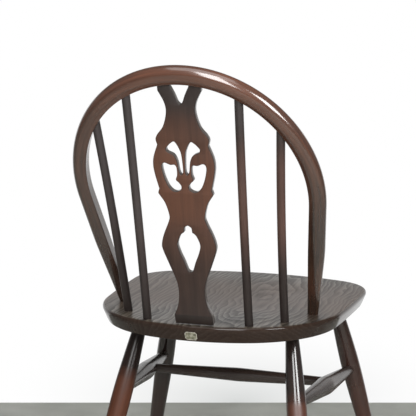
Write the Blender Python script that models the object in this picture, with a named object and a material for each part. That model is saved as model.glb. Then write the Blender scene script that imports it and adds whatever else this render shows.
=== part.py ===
"""Windsor dining chair with a pierced splat: turned, bent and sawn wooden pieces, each its own solid."""
import math

import bmesh
import bpy
from mathutils import Matrix, Vector

# Frame: metres, +Z up, floor at Z = 0, front of the chair towards -Y, sitter's left towards +X

# Clearance between any two pieces that touch
GAP = 0.0003

# Seat board: height of its flat rim, board thickness, and the plan as arcs that run into each other
SEAT_HEIGHT = 0.4300
SEAT_THICKNESS = 0.0270
SEAT_FRONT_Y = -0.2388
SEAT_REAR_Y = 0.1897
SEAT_HALF_WIDTH = 0.2117
SEAT_WIDEST_Y = -0.1519
SEAT_FRONT_RADIUS = 0.480
SEAT_SIDE_RADIUS = 2.200
SEAT_REAR_RADIUS = 0.289
SEAT_FRONT_CORNER_RADIUS = 0.083
SEAT_REAR_CORNER_RADIUS = 0.169
SEAT_EDGE_ROUND = 0.0045
SEAT_EDGE_DROP = 0.0063
SEAT_UNDERCUT = 0.0085
SEAT_DISH_DEPTH = 0.0065
SEAT_DISH_SHARE = 0.80

# Legs: where each axis meets the underside of the seat and the floor, and the turned diameters
REAR_LEG_TOP_X = 0.1292
REAR_LEG_TOP_Y = 0.0602
REAR_LEG_FOOT_X = 0.1983
REAR_LEG_FOOT_Y = 0.2102
FRONT_LEG_TOP_X = 0.1478
FRONT_LEG_TOP_Y = -0.1730
FRONT_LEG_FOOT_X = 0.2336
FRONT_LEG_FOOT_Y = -0.2635
LEG_TOP_DIAMETER = 0.0215
LEG_SWELL_DIAMETER = 0.0330
LEG_SWELL_HEIGHT = 0.280
LEG_SHANK_DIAMETER = 0.0255
LEG_SHANK_HEIGHT = 0.141
LEG_FOOT_DIAMETER = 0.0175
LEG_STRAIGHT_NECK = 0.007
LEG_SOCKET_COVER = 0.0085

# Stretchers: heights where the side pair meets the legs, and the turned diameters
SIDE_STRETCHER_REAR_HEIGHT = 0.290
SIDE_STRETCHER_FRONT_HEIGHT = 0.272
SIDE_STRETCHER_DIAMETER = 0.0320
SIDE_STRETCHER_TENON = 0.0170
CROSS_STRETCHER_DIAMETER = 0.0240
CROSS_STRETCHER_TENON = 0.0160
CROSS_STRETCHER_SHARE = 0.60
STRETCHER_FULLEST = 0.50
STRETCHER_TENON_PAST_AXIS = 0.005
STRETCHER_NECK = 0.005

# Bow: middle plane at the seat, lean from upright, the inner face as two straights and an ellipse
BOW_FOOT_Y = 0.0494
BOW_LEAN = math.radians(27.5)
BOW_FOOT_HALF = 0.1529
BOW_HALF_WIDTH = 0.1804
BOW_SPRING = 0.2462
BOW_ARCH_RISE = 0.1947
BOW_LIMB_WIDTH = 0.0247
BOW_TOP_WIDTH = 0.0284
BOW_INNER_DEPTH = 0.0180
BOW_FULL_DEPTH = 0.0260
BOW_FULLEST = 0.0133
BOW_INNER_CHAMFER = 0.0015
BOW_FOOT_DIAMETER = 0.0175
BOW_TAPER_START = 0.010
BOW_TAPER_END = 0.180

# Wedge driven up into each bow foot from under the seat
WEDGE_LENGTH = 0.0180
WEDGE_THICK_END = 0.0030
WEDGE_THIN_END = 0.0012
WEDGE_SIDE_MARGIN = 0.0010

# Spindles: places in the seat, half spread along the bow, and how far each springs towards the middle
SPINDLE_DIAMETER = 0.0136
OUTER_SPINDLE_FOOT_X = 0.1321
OUTER_SPINDLE_FOOT_Y = 0.1181
OUTER_SPINDLE_TOP_HALF = 0.1480
OUTER_SPINDLE_SPRING = 0.0019
INNER_SPINDLE_FOOT_X = 0.0848
INNER_SPINDLE_FOOT_Y = 0.1605
INNER_SPINDLE_TOP_HALF = 0.0895
INNER_SPINDLE_SPRING = 0.0009
SPINDLE_SETBACK = 0.0010
SPINDLE_SEAT_SOCKET = 0.0150
SPINDLE_BOW_SOCKET = 0.0130

# Splat: rear face at its foot, lean of the blade above the foot, thicknesses and tenons
SPLAT_FOOT_Y = 0.1848
SPLAT_LEAN = math.radians(11.0)
SPLAT_THICKNESS = 0.0100
SPLAT_FOOT_THICKNESS = 0.0140
SPLAT_FOOT_HEIGHT = 0.0160
SPLAT_PRONG_DEPTH = 0.0100
SPLAT_TENON_HALF = 0.0240
SPLAT_TENON_DEPTH = 0.0140
SPLAT_TENON_THICKNESS = 0.0080
SPLAT_TENON_SETBACK = 0.0035
SPLAT_TENON_ROOT = 0.0040

# Splat drawing: half outlines as (half width, height above the seat) in millimetres, for a blade of this length
MILLIMETRE = 0.001
SPLAT_DRAWN_LENGTH = 396.9
FOOT_HALF = 31.2
PRONG_OUTER = 34.5
PRONG_INNER = 14.9
LOW_NICK = (42.1, 228.0)
HIGH_NICK = (40.7, 299.5)
DROP_SHOULDER = (6.6, 157.2)
LOWER_BODY = [(25.0, 30.5), (21.6, 50.0), (23.4, 72.0), (33.8, 101.0), (43.0, 126.0), (44.0, 137.0),
              (39.7, 152.6), (30.6, 174.0), (28.8, 184.5), (34.0, 204.0), (41.2, 216.0), (44.1, 221.1)]
MIDDLE_BODY = [(47.5, 251.0), (49.4, 266.0), (47.7, 280.4)]
UPPER_BODY = [(42.7, 308.5), (39.3, 316.3), (29.3, 329.7), (23.3, 351.5), (25.4, 368.0)]
PRONG_CORNER_HEIGHT = 386.0
NOTCH_CORNER_HEIGHT = 393.0
TOP_NOTCH = [(8.5, 380.0), (4.1, 368.6), (0.0, 364.2)]
PETAL = [(12.4, 304.6), (19.2, 302.4), (25.9, 295.6), (27.0, 292.5), (25.0, 288.6), (15.5, 283.6),
         (10.5, 273.5), (8.1, 257.3), (4.9, 251.8), (1.9, 257.5), (2.5, 277.5), (4.7, 290.6)]
SEPAL = [(35.6, 265.0), (33.3, 249.9), (27.8, 234.7), (21.3, 226.2), (14.6, 224.1), (7.6, 227.3),
         (6.1, 233.0), (9.7, 238.8), (14.2, 243.6), (11.9, 251.4), (12.0, 262.5), (14.8, 267.5),
         (22.0, 267.4), (31.2, 270.5)]
DROP_CAP = [(0.0, 168.6), (5.4, 164.9)]
DROP_BODY = [(13.1, 151.3), (18.3, 136.8), (15.5, 123.2), (9.1, 107.4), (4.2, 93.2), (0.0, 90.2)]

# Plain foil label on the rear edge of the seat
LABEL_X = 0.0037
LABEL_WIDTH = 0.0200
LABEL_HEIGHT = 0.0140
LABEL_THICKNESS = 0.0004
LABEL_CENTRE_BELOW_TOP = 0.0170

# How finely the round pieces are faceted
LEG_SEGMENTS = 20
STRETCHER_SEGMENTS = 18
SPINDLE_SEGMENTS = 14
BOW_ARCH_STEPS = 15
BOW_FLANK_STEPS = 2
BOW_CROWN_STEPS = 8
SEAT_ARC_STEPS = 6
EDGE_STEPS = 3
DISH_RINGS = (1.0, 0.78, 0.56, 0.34, 0.12)
LEG_STEPS = 5
SPINDLE_STEPS = 8
LABEL_STEPS = 4
OUTLINE_STEPS = 3
SMOOTH_ANGLE = math.radians(40)

# Values worked out from the sizes above
SEAT_UNDERSIDE = SEAT_HEIGHT - SEAT_THICKNESS
SIDES = {"left": 1.0, "right": -1.0}
REAR_LEG = ((REAR_LEG_TOP_X, REAR_LEG_TOP_Y), (REAR_LEG_FOOT_X, REAR_LEG_FOOT_Y))
FRONT_LEG = ((FRONT_LEG_TOP_X, FRONT_LEG_TOP_Y), (FRONT_LEG_FOOT_X, FRONT_LEG_FOOT_Y))
OUTER_SPINDLE_FOOT = (OUTER_SPINDLE_FOOT_X, OUTER_SPINDLE_FOOT_Y)
INNER_SPINDLE_FOOT = (INNER_SPINDLE_FOOT_X, INNER_SPINDLE_FOOT_Y)
BOW_FRAME = Matrix.Translation((0.0, BOW_FOOT_Y, SEAT_HEIGHT)) @ Matrix.Rotation(
    math.pi / 2 - BOW_LEAN, 4, "X")


# Scene helpers

def clear_scene():
    """Remove whatever the open file holds."""
    for old in list(bpy.data.objects):
        bpy.data.objects.remove(old, do_unlink=True)


def finish(name, colour, roughness, metallic=0.0):
    """Make the plain material of one sub-part."""
    material = bpy.data.materials.new(name)
    material.use_nodes = True
    shader = material.node_tree.nodes["Principled BSDF"]
    shader.inputs["Base Color"].default_value = (*colour, 1.0)
    shader.inputs["Roughness"].default_value = roughness
    shader.inputs["Metallic"].default_value = metallic
    return material


def add_object(name, bm, matrix, parent):
    """Turn a bmesh into an object placed by its matrix under its parent."""
    bmesh.ops.recalc_face_normals(bm, faces=bm.faces)
    mesh = bpy.data.meshes.new(name)
    bm.to_mesh(mesh)
    bm.free()
    mesh.shade_smooth()
    mesh.set_sharp_from_angle(angle=SMOOTH_ANGLE)
    obj = bpy.data.objects.new(name, mesh)
    bpy.context.collection.objects.link(obj)
    obj.parent = parent
    obj.matrix_world = matrix
    return obj


def add_part(name, bm, matrix, parent, colour, roughness, metallic=0.0):
    """Add one sub-part with a material of its own."""
    obj = add_object(name, bm, matrix, parent)
    obj.data.materials.append(finish(name + "_finish", colour, roughness, metallic))
    return obj


def combine(target, bm, name, matrix, operation):
    """Cut a tool shape out of a sub-part, or join it on, and keep the tool as a hidden guide."""
    tool = add_object(name, bm, matrix, target.parent)
    tool.hide_render = True
    tool.display_type = "WIRE"
    step = target.modifiers.new(name, "BOOLEAN")
    step.object = tool
    step.operation = operation
    step.solver = "EXACT"


def aim(start, end):
    """Place local +Z along the line from start to end, with the origin at start."""
    turn = (end - start).to_track_quat("Z", "Y")
    return Matrix.Translation(start) @ turn.to_matrix().to_4x4()


# Shape helpers

def bridge_rings(bm, rings):
    """Skin a list of equal closed rings of points and cap both ends."""
    loops = [[bm.verts.new(point) for point in ring] for ring in rings]
    for low, high in zip(loops, loops[1:]):
        for i, vert in enumerate(low):
            j = (i + 1) % len(low)
            bm.faces.new((vert, low[j], high[j], high[i]))
    bm.faces.new(loops[0][::-1])
    bm.faces.new(loops[-1])


def turned(stations, segments, offset=None):
    """Skin a turned piece along local Z from (height, diameter) stations, shifted in X by offset(height)."""
    bm = bmesh.new()
    rings = []
    for height, diameter in stations:
        shift = offset(height) if offset else 0.0
        ring = []
        for i in range(segments):
            angle = math.tau * i / segments
            ring.append((shift + diameter / 2 * math.cos(angle), diameter / 2 * math.sin(angle), height))
        rings.append(ring)
    bridge_rings(bm, rings)
    return bm


def trim_below(bm, matrix, height):
    """Cut a placed shape level at a world height and close the cut."""
    to_local = matrix.inverted()
    normal = to_local.to_3x3() @ Vector((0.0, 0.0, 1.0))
    point = to_local @ Vector((matrix.translation.x, matrix.translation.y, height))
    geometry = bm.verts[:] + bm.edges[:] + bm.faces[:]
    cut = bmesh.ops.bisect_plane(bm, geom=geometry, plane_co=point, plane_no=normal, clear_inner=True)
    rim = [item for item in cut["geom_cut"] if isinstance(item, bmesh.types.BMEdge)]
    bmesh.ops.edgeloop_fill(bm, edges=rim)


def smooth_run(knots, steps, closed=False):
    """Sample a smooth curve through the knots; an open run keeps both end knots, a closed one repeats none."""
    points = [Vector(knot) for knot in knots]
    count = len(points)
    result = []
    for i in range(count if closed else count - 1):
        start = points[i]
        end = points[(i + 1) % count]
        before = points[i - 1] if closed or i > 0 else start
        after = points[(i + 2) % count] if closed or i + 2 < count else end
        for k in range(steps):
            t = k / steps
            bend_in = (end - before) / 2
            bend_out = (after - start) / 2
            result.append(start * (2 * t ** 3 - 3 * t ** 2 + 1) + bend_in * (t ** 3 - 2 * t ** 2 + t)
                          + end * (3 * t ** 2 - 2 * t ** 3) + bend_out * (t ** 3 - t ** 2))
    if not closed:
        result.append(points[-1])
    return result


def mirrored(points):
    """Reflect plan or outline points in the middle plane."""
    return [Vector((-point.x, point.y)) for point in points]


# Seat

def inner_tangent_centre(centre_a, radius_a, centre_b, radius_b, radius, towards):
    """Centre of a circle inside two others and tangent to both, on the side nearest the given Y."""
    reach_a = radius_a - radius
    reach_b = radius_b - radius
    span = centre_b - centre_a
    along = (reach_a ** 2 - reach_b ** 2 + span.length_squared) / (2 * span.length)
    across = math.sqrt(reach_a ** 2 - along ** 2)
    base = centre_a + span.normalized() * along
    side = Vector((-span.y, span.x)).normalized() * across
    return min((base + side, base - side), key=lambda point: abs(point.y - towards))


def arc_points(centre, radius, start, end, steps):
    """Points on an arc between two directions from its centre, without the last one."""
    first = math.atan2(start.y, start.x)
    sweep = math.remainder(math.atan2(end.y, end.x) - first, math.tau)
    angles = [first + sweep * i / steps for i in range(steps)]
    return [centre + radius * Vector((math.cos(angle), math.sin(angle))) for angle in angles]


def seat_outline(inset):
    """Plan of the seat drawn in by an inset, from the middle of the front round the left to the right."""
    front = Vector((0.0, SEAT_FRONT_Y + SEAT_FRONT_RADIUS))
    rear = Vector((0.0, SEAT_REAR_Y - SEAT_REAR_RADIUS))
    side = Vector((SEAT_HALF_WIDTH - SEAT_SIDE_RADIUS, SEAT_WIDEST_Y))
    front_corner = inner_tangent_centre(front, SEAT_FRONT_RADIUS, side, SEAT_SIDE_RADIUS,
                                        SEAT_FRONT_CORNER_RADIUS, SEAT_FRONT_Y)
    rear_corner = inner_tangent_centre(rear, SEAT_REAR_RADIUS, side, SEAT_SIDE_RADIUS,
                                       SEAT_REAR_CORNER_RADIUS, SEAT_REAR_Y)
    ahead = Vector((0.0, -1.0))
    behind = Vector((0.0, 1.0))
    half = arc_points(front, SEAT_FRONT_RADIUS - inset, ahead, front_corner - front, SEAT_ARC_STEPS)
    half += arc_points(front_corner, SEAT_FRONT_CORNER_RADIUS - inset,
                       front_corner - front, front_corner - side, SEAT_ARC_STEPS)
    half += arc_points(side, SEAT_SIDE_RADIUS - inset, front_corner - side, rear_corner - side, SEAT_ARC_STEPS)
    half += arc_points(rear_corner, SEAT_REAR_CORNER_RADIUS - inset,
                       rear_corner - side, rear_corner - rear, SEAT_ARC_STEPS)
    half += arc_points(rear, SEAT_REAR_RADIUS - inset, rear_corner - rear, behind, SEAT_ARC_STEPS)
    last = Vector((0.0, SEAT_REAR_Y - inset))
    return half + [last] + mirrored(half[:0:-1])


def build_seat(parent):
    """Saddled seat board with a rounded upper edge and sides that slope in towards the underside."""
    levels = [(SEAT_UNDERCUT, -SEAT_THICKNESS), (0.0, -SEAT_EDGE_DROP)]
    for step in range(1, EDGE_STEPS + 1):
        angle = math.pi / 2 * step / EDGE_STEPS
        levels.append((SEAT_EDGE_ROUND * (1 - math.cos(angle)), -SEAT_EDGE_ROUND * (1 - math.sin(angle))))
    rings = [[(p.x, p.y, z) for p in seat_outline(inset)] for inset, z in levels]
    rim = seat_outline(SEAT_EDGE_ROUND)
    middle = Vector((0.0, (SEAT_FRONT_Y + SEAT_REAR_Y) / 2))
    for share in DISH_RINGS:
        ring = []
        for point in rim:
            place = middle + (point - middle) * share * SEAT_DISH_SHARE
            ring.append((place.x, place.y, -SEAT_DISH_DEPTH * (1 - share ** 2) ** 2))
        rings.append(ring)
    bm = bmesh.new()
    bridge_rings(bm, rings)
    place = Matrix.Translation((0.0, 0.0, SEAT_HEIGHT))
    return add_part("seat", bm, place, parent, (0.060, 0.036, 0.029), 0.25)


def build_label(parent):
    """Thin foil plate that follows the sloping rear edge of the seat."""
    slope = SEAT_UNDERCUT / (SEAT_THICKNESS - SEAT_EDGE_DROP)
    bm = bmesh.new()
    rings = []
    for step in range(LABEL_STEPS + 1):
        x = LABEL_X + LABEL_WIDTH * (step / LABEL_STEPS - 0.5)
        ring = []
        for rise, lift in ((-0.5, 0.0), (-0.5, 1.0), (0.5, 1.0), (0.5, 0.0)):
            drop = LABEL_CENTRE_BELOW_TOP - rise * LABEL_HEIGHT
            inset = slope * (drop - SEAT_EDGE_DROP)
            radius = SEAT_REAR_RADIUS - inset + GAP / math.cos(math.atan(slope)) + lift * LABEL_THICKNESS
            y = SEAT_REAR_Y - SEAT_REAR_RADIUS + math.sqrt(radius ** 2 - x ** 2)
            ring.append((x, y, -drop))
        rings.append(ring)
    bridge_rings(bm, rings)
    place = Matrix.Translation((0.0, 0.0, SEAT_HEIGHT))
    return add_part("edge_label", bm, place, parent, (0.35, 0.30, 0.20), 0.45, 0.6)


# Legs

def leg_ends(axis, side):
    """Axis points of a leg at the underside of the seat and on the floor."""
    top, foot = axis
    upper = Vector((side * top[0], top[1], SEAT_UNDERSIDE))
    lower = Vector((side * foot[0], foot[1], 0.0))
    return upper, lower


def leg_stations(length, stretch):
    """Diameters up a leg, with heights measured along its axis from the floor."""
    knots = [(0.0, LEG_FOOT_DIAMETER), (LEG_SHANK_HEIGHT * stretch, LEG_SHANK_DIAMETER),
             (LEG_SWELL_HEIGHT * stretch, LEG_SWELL_DIAMETER),
             (length - LEG_STRAIGHT_NECK, LEG_TOP_DIAMETER)]
    below = (-2 * LEG_FOOT_DIAMETER, LEG_FOOT_DIAMETER)
    tenon = (length + (SEAT_THICKNESS - LEG_SOCKET_COVER) * stretch - GAP, LEG_TOP_DIAMETER)
    return [below] + [tuple(point) for point in smooth_run(knots, LEG_STEPS)] + [tenon]


def build_leg(name, axis, side, parent, seat):
    """Turned leg with a level sole and a round tenon in a blind socket under the seat."""
    upper, lower = leg_ends(axis, side)
    place = aim(lower, upper)
    length = (upper - lower).length
    stretch = length / SEAT_UNDERSIDE
    bm = turned(leg_stations(length, stretch), LEG_SEGMENTS)
    trim_below(bm, place, 0.0)
    leg = add_part(name, bm, place, parent, (0.085, 0.045, 0.032), 0.30)
    socket_top = length + (SEAT_THICKNESS - LEG_SOCKET_COVER) * stretch
    bore = LEG_TOP_DIAMETER + 2 * GAP
    socket = turned([(length - LEG_TOP_DIAMETER, bore), (socket_top, bore)], LEG_SEGMENTS)
    combine(seat, socket, name + "_socket", place, "DIFFERENCE")
    return leg


# Stretchers

def at_height(ends, height):
    """Point of a leg's axis at a height above the floor."""
    upper, lower = ends
    return lower.lerp(upper, height / upper.z)


def stretcher_stations(length, tenon, neck, full):
    """Diameters along a stretcher between two axes: tenons past both, and two straight tapers to a crest."""
    return [(-STRETCHER_TENON_PAST_AXIS, tenon), (neck, tenon), (length * STRETCHER_FULLEST, full),
            (length - neck, tenon), (length + STRETCHER_TENON_PAST_AXIS, tenon)]


def drill_ends(name, place, length, tenon, neck, targets):
    """Bore the two blind sockets that take the tenons of a stretcher."""
    bore = tenon + 2 * GAP
    reach = STRETCHER_TENON_PAST_AXIS + GAP
    spans = ((-reach, neck), (length - neck, length + reach))
    for (low, high), target, end in zip(spans, targets, ("near", "far")):
        hole = turned([(low, bore), (high, bore)], STRETCHER_SEGMENTS)
        combine(target, hole, f"{name}_{end}_socket", place, "DIFFERENCE")


def build_stretcher(name, start, end, sizes, targets, parent):
    """Turned stretcher between two axis points, with blind sockets in the pieces that it joins."""
    tenon, full, neck = sizes
    place = aim(start, end)
    length = (end - start).length
    bm = turned(stretcher_stations(length, tenon, neck, full), STRETCHER_SEGMENTS)
    part = add_part(name, bm, place, parent, (0.090, 0.055, 0.042), 0.28)
    drill_ends(name, place, length, tenon, neck, targets)
    return part


# Bow

def bow_tangent_angle():
    """Ellipse angle where the straight limb runs into the arch."""
    across = BOW_FOOT_HALF / BOW_HALF_WIDTH
    down = -BOW_SPRING / BOW_ARCH_RISE
    return math.atan2(down, across) + math.acos(1 / math.hypot(across, down))


def bow_arch(angle):
    """Point of the inner face in the bow's plane at an ellipse angle."""
    return Vector((BOW_HALF_WIDTH * math.cos(angle), BOW_SPRING + BOW_ARCH_RISE * math.sin(angle)))


def bow_inner_height(half):
    """Distance up the bow's plane to the inner face of the arch at a half width."""
    return BOW_SPRING + BOW_ARCH_RISE * math.sqrt(1 - (half / BOW_HALF_WIDTH) ** 2)


def bow_limb():
    """Foot point, upward direction and outward direction of the straight limb on the left."""
    foot = Vector((BOW_FOOT_HALF, 0.0))
    upward = (bow_arch(bow_tangent_angle()) - foot).normalized()
    return foot, upward, Vector((upward.y, -upward.x))


def bow_width(angle):
    """Width of the full section at an ellipse angle: the limbs' own below the spring, most at the top."""
    return BOW_LIMB_WIDTH + (BOW_TOP_WIDTH - BOW_LIMB_WIDTH) * max(math.sin(angle), 0.0) ** 2


def bow_section(blend, width):
    """Section as (outward from the inner face, across), from round at the foot to the full D with a swell."""
    half = BOW_INNER_DEPTH / 2
    swell = BOW_FULL_DEPTH / 2
    edge = half - BOW_INNER_CHAMFER
    flank = []
    for step in range(1, BOW_FLANK_STEPS + 1):
        share = step / BOW_FLANK_STEPS
        bulge = math.sin(math.pi / 2 * share)
        flank.append((BOW_INNER_CHAMFER + (BOW_FULLEST - BOW_INNER_CHAMFER) * share,
                      half + (swell - half) * bulge))
    crown = []
    for step in range(1, BOW_CROWN_STEPS):
        angle = math.pi / 2 - math.pi * step / BOW_CROWN_STEPS
        crown.append((BOW_FULLEST + (width - BOW_FULLEST) * math.cos(angle), swell * math.sin(angle)))
    front = [(0.0, edge), (BOW_INNER_CHAMFER, half), *flank]
    full = [(0.0, 0.0), *front, *crown, *[(out, -across) for out, across in reversed(front)]]
    radius = BOW_FOOT_DIAMETER / 2
    section = []
    for index, (out, across) in enumerate(full):
        angle = math.pi - math.tau * index / len(full)
        round_out = radius + radius * math.cos(angle)
        round_across = radius * math.sin(angle)
        section.append((round_out + (out - round_out) * blend, round_across + (across - round_across) * blend))
    return section


def bow_blend(height):
    """Share of the full section reached at a distance up the limb."""
    return min(max((height - BOW_TAPER_START) / (BOW_TAPER_END - BOW_TAPER_START), 0.0), 1.0)


def bow_below_seat():
    """Distance down the limb that clears the underside of the seat."""
    return (SEAT_THICKNESS + 2 * BOW_FOOT_DIAMETER) / math.cos(BOW_LEAN)


def bow_stations():
    """Half path as (inner point, outward direction, section), foot first."""
    foot, upward, outward = bow_limb()
    stations = []
    for height in (-bow_below_seat(), BOW_TAPER_START, BOW_TAPER_END):
        section = bow_section(bow_blend(height), BOW_LIMB_WIDTH)
        stations.append((foot + upward * height / upward.y, outward, section))
    start = bow_tangent_angle()
    for step in range(BOW_ARCH_STEPS + 1):
        angle = start + (math.pi / 2 - start) * step / BOW_ARCH_STEPS
        normal = Vector((math.cos(angle) / BOW_HALF_WIDTH, math.sin(angle) / BOW_ARCH_RISE)).normalized()
        stations.append((bow_arch(angle), normal, bow_section(1.0, bow_width(angle))))
    return stations


def bow_ring(inner, outward, section, side):
    """Place a section on the path."""
    ring = []
    for out, across in section:
        point = inner + outward * out
        ring.append((side * point.x, point.y, across))
    return ring


def build_bow(parent, seat):
    """Bent bow of D section whose round feet pass through the seat."""
    half = bow_stations()
    rings = [bow_ring(inner, outward, section, 1.0) for inner, outward, section in half]
    rings += [bow_ring(inner, outward, section, -1.0) for inner, outward, section in half[-2::-1]]
    bm = bmesh.new()
    bridge_rings(bm, rings)
    trim_below(bm, BOW_FRAME, SEAT_UNDERSIDE)
    bow = add_part("back_bow", bm, BOW_FRAME, parent, (0.070, 0.038, 0.028), 0.25)
    foot, upward, outward = bow_limb()
    for label, side in SIDES.items():
        hole = bmesh.new()
        rings = []
        for height in (-bow_below_seat(), BOW_FOOT_DIAMETER):
            inner = foot + upward * height / upward.y - outward * GAP
            scale = 1 + 2 * GAP / BOW_FOOT_DIAMETER
            section = [(out * scale, across * scale) for out, across in bow_section(0.0, BOW_LIMB_WIDTH)]
            rings.append(bow_ring(inner, outward, section, side))
        bridge_rings(hole, rings)
        combine(seat, hole, f"bow_hole_{label}", BOW_FRAME, "DIFFERENCE")
    return bow


def wedge_shape(clearance, width):
    """Tapered prism along local Z with its thick end down, long enough to be trimmed level."""
    below = BOW_FOOT_DIAMETER
    taper = (WEDGE_THICK_END - WEDGE_THIN_END) / WEDGE_LENGTH
    bm = bmesh.new()
    rings = []
    for height in (-below, WEDGE_LENGTH + clearance):
        across = (WEDGE_THICK_END - taper * height) / 2 + clearance
        rings.append([(-width / 2, -across, height), (width / 2, -across, height),
                      (width / 2, across, height), (-width / 2, across, height)])
    bridge_rings(bm, rings)
    return bm


def build_wedge(label, side, parent, bow):
    """Wedge in the saw cut of a bow foot, flush with the underside of the seat."""
    foot, upward, outward = bow_limb()
    drop = SEAT_THICKNESS / (math.cos(BOW_LEAN) * upward.y)
    base = foot + outward * BOW_FOOT_DIAMETER / 2 - upward * drop
    out_axis = Vector((side * outward.x, outward.y, 0.0))
    up_axis = Vector((side * upward.x, upward.y, 0.0))
    across_axis = up_axis.cross(out_axis)
    turn = Matrix((out_axis, across_axis, up_axis)).transposed().to_4x4()
    place = BOW_FRAME @ Matrix.Translation((side * base.x, base.y, 0.0)) @ turn
    cut = wedge_shape(GAP, BOW_FOOT_DIAMETER * 2)
    combine(bow, cut, f"wedge_cut_{label}", place, "DIFFERENCE")
    bm = wedge_shape(0.0, BOW_FOOT_DIAMETER - 2 * WEDGE_SIDE_MARGIN)
    trim_below(bm, place, SEAT_UNDERSIDE)
    return add_part(f"bow_wedge_{label}", bm, place, parent, (0.120, 0.070, 0.045), 0.45)


# Spindles

def build_spindle(name, foot, top_half, spring, side, parent, targets):
    """Slim rod from a socket in the seat to a socket in the bow, sprung a little towards the middle."""
    start = Vector((side * foot[0], foot[1], SEAT_HEIGHT))
    end = BOW_FRAME @ Vector((side * top_half, bow_inner_height(top_half), -SPINDLE_SETBACK))
    place = aim(start, end)
    length = (end - start).length
    inward = side * spring

    def offset(height):
        share = height / length
        return inward * 4 * share * (1 - share)

    heights = [-SPINDLE_SEAT_SOCKET] + [length * k / SPINDLE_STEPS for k in range(SPINDLE_STEPS + 1)]
    heights.append(length + SPINDLE_BOW_SOCKET)
    bm = turned([(height, SPINDLE_DIAMETER) for height in heights], SPINDLE_SEGMENTS, offset)
    add_part(name, bm, place, parent, (0.045, 0.027, 0.022), 0.32)
    bore = SPINDLE_DIAMETER + 2 * GAP
    low = [(-SPINDLE_SEAT_SOCKET - GAP, bore), (SPINDLE_DIAMETER, bore)]
    high = [(length - 2 * SPINDLE_DIAMETER, bore), (length + SPINDLE_BOW_SOCKET + GAP, bore)]
    for stations, target, end_name in zip((low, high), targets, ("seat", "bow")):
        hole = turned(stations, SPINDLE_SEGMENTS, offset)
        combine(target, hole, f"{name}_{end_name}_socket", place, "DIFFERENCE")


# Splat

def splat_top():
    """Height up the blade where its middle meets the inner face of the bow."""
    half = (PRONG_OUTER + PRONG_INNER) / 2 * MILLIMETRE
    across_bow = Vector((math.sin(BOW_LEAN), math.cos(BOW_LEAN)))
    up_blade = Vector((math.sin(SPLAT_LEAN), math.cos(SPLAT_LEAN)))
    ahead = Vector((-math.cos(SPLAT_LEAN), math.sin(SPLAT_LEAN)))
    crease = Vector((SPLAT_FOOT_Y - BOW_FOOT_Y, SPLAT_FOOT_HEIGHT)) + ahead * SPLAT_THICKNESS / 2
    return SPLAT_FOOT_HEIGHT + (bow_inner_height(half) - crease.dot(across_bow)) / up_blade.dot(across_bow)


def splat_point(half, height, depth):
    """Place a point of the blade: half width, height above the seat, depth in front of the rear face."""
    above = height - SPLAT_FOOT_HEIGHT
    if above < -GAP:
        share = -above / SPLAT_FOOT_HEIGHT
        thick = 1 + (SPLAT_FOOT_THICKNESS / SPLAT_THICKNESS - 1) * share
        return Vector((half, -depth * thick, height))
    lean = SPLAT_LEAN if above > GAP else SPLAT_LEAN / 2
    mitre = 1 / math.cos(SPLAT_LEAN - lean)
    y = above * math.sin(SPLAT_LEAN) - depth * mitre * math.cos(lean)
    z = SPLAT_FOOT_HEIGHT + above * math.cos(SPLAT_LEAN) + depth * mitre * math.sin(lean)
    return Vector((half, y, z))


def splat_outlines(top):
    """Outer outline and the pierced shapes, in metres on the flat blade, stretched from foot to bow."""
    foot = SPLAT_FOOT_HEIGHT / MILLIMETRE
    scale = (top / MILLIMETRE - foot) / (SPLAT_DRAWN_LENGTH - foot)
    prong_end = foot + ((top + SPLAT_PRONG_DEPTH) / MILLIMETRE - foot) / scale
    prong_corner = (PRONG_OUTER, PRONG_CORNER_HEIGHT)
    half = [Vector((FOOT_HALF, 0.0))]
    for run in ([(FOOT_HALF, foot), *LOWER_BODY, LOW_NICK], [LOW_NICK, *MIDDLE_BODY, HIGH_NICK],
                [HIGH_NICK, *UPPER_BODY, prong_corner]):
        half += smooth_run(run, OUTLINE_STEPS)[:-1]
    half += [Vector(prong_corner), Vector((PRONG_OUTER, prong_end)), Vector((PRONG_INNER, prong_end))]
    half += smooth_run([(PRONG_INNER, NOTCH_CORNER_HEIGHT), *TOP_NOTCH], OUTLINE_STEPS)
    outer = half + mirrored(half[-2::-1])
    drop = smooth_run([*DROP_CAP, DROP_SHOULDER], OUTLINE_STEPS)[:-1]
    drop += smooth_run([DROP_SHOULDER, *DROP_BODY], OUTLINE_STEPS)
    loops = [outer, drop + mirrored(drop[-2:0:-1])]
    for knots in (PETAL, SEPAL):
        loop = smooth_run(knots, OUTLINE_STEPS, closed=True)
        loops += [loop, mirrored(loop)]
    flat = []
    for loop in loops:
        flat.append([(p.x * MILLIMETRE, place_height(p.y, foot, scale) * MILLIMETRE, 0.0) for p in loop])
    return flat


def place_height(drawn, foot, scale):
    """Height on the blade for a height on the drawing: the foot keeps its own height."""
    return foot + (drawn - foot) * scale if drawn > foot else drawn


def splat_blade(top):
    """Pierced blade with its upright foot, as a closed solid."""
    bm = bmesh.new()
    for loop in splat_outlines(top):
        verts = [bm.verts.new(point) for point in loop]
        for i, vert in enumerate(verts):
            bm.edges.new((vert, verts[(i + 1) % len(verts)]))
    bmesh.ops.triangle_fill(bm, edges=bm.edges[:], use_beauty=True)
    geometry = bm.verts[:] + bm.edges[:] + bm.faces[:]
    bmesh.ops.bisect_plane(bm, geom=geometry, dist=GAP, plane_co=(0.0, SPLAT_FOOT_HEIGHT, 0.0),
                           plane_no=(0.0, 1.0, 0.0))
    grown = bmesh.ops.extrude_face_region(bm, geom=bm.faces[:])
    for item in grown["geom"]:
        if isinstance(item, bmesh.types.BMVert):
            item.co.z = SPLAT_THICKNESS
    for vert in bm.verts:
        vert.co = splat_point(*vert.co)
    return bm


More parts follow.
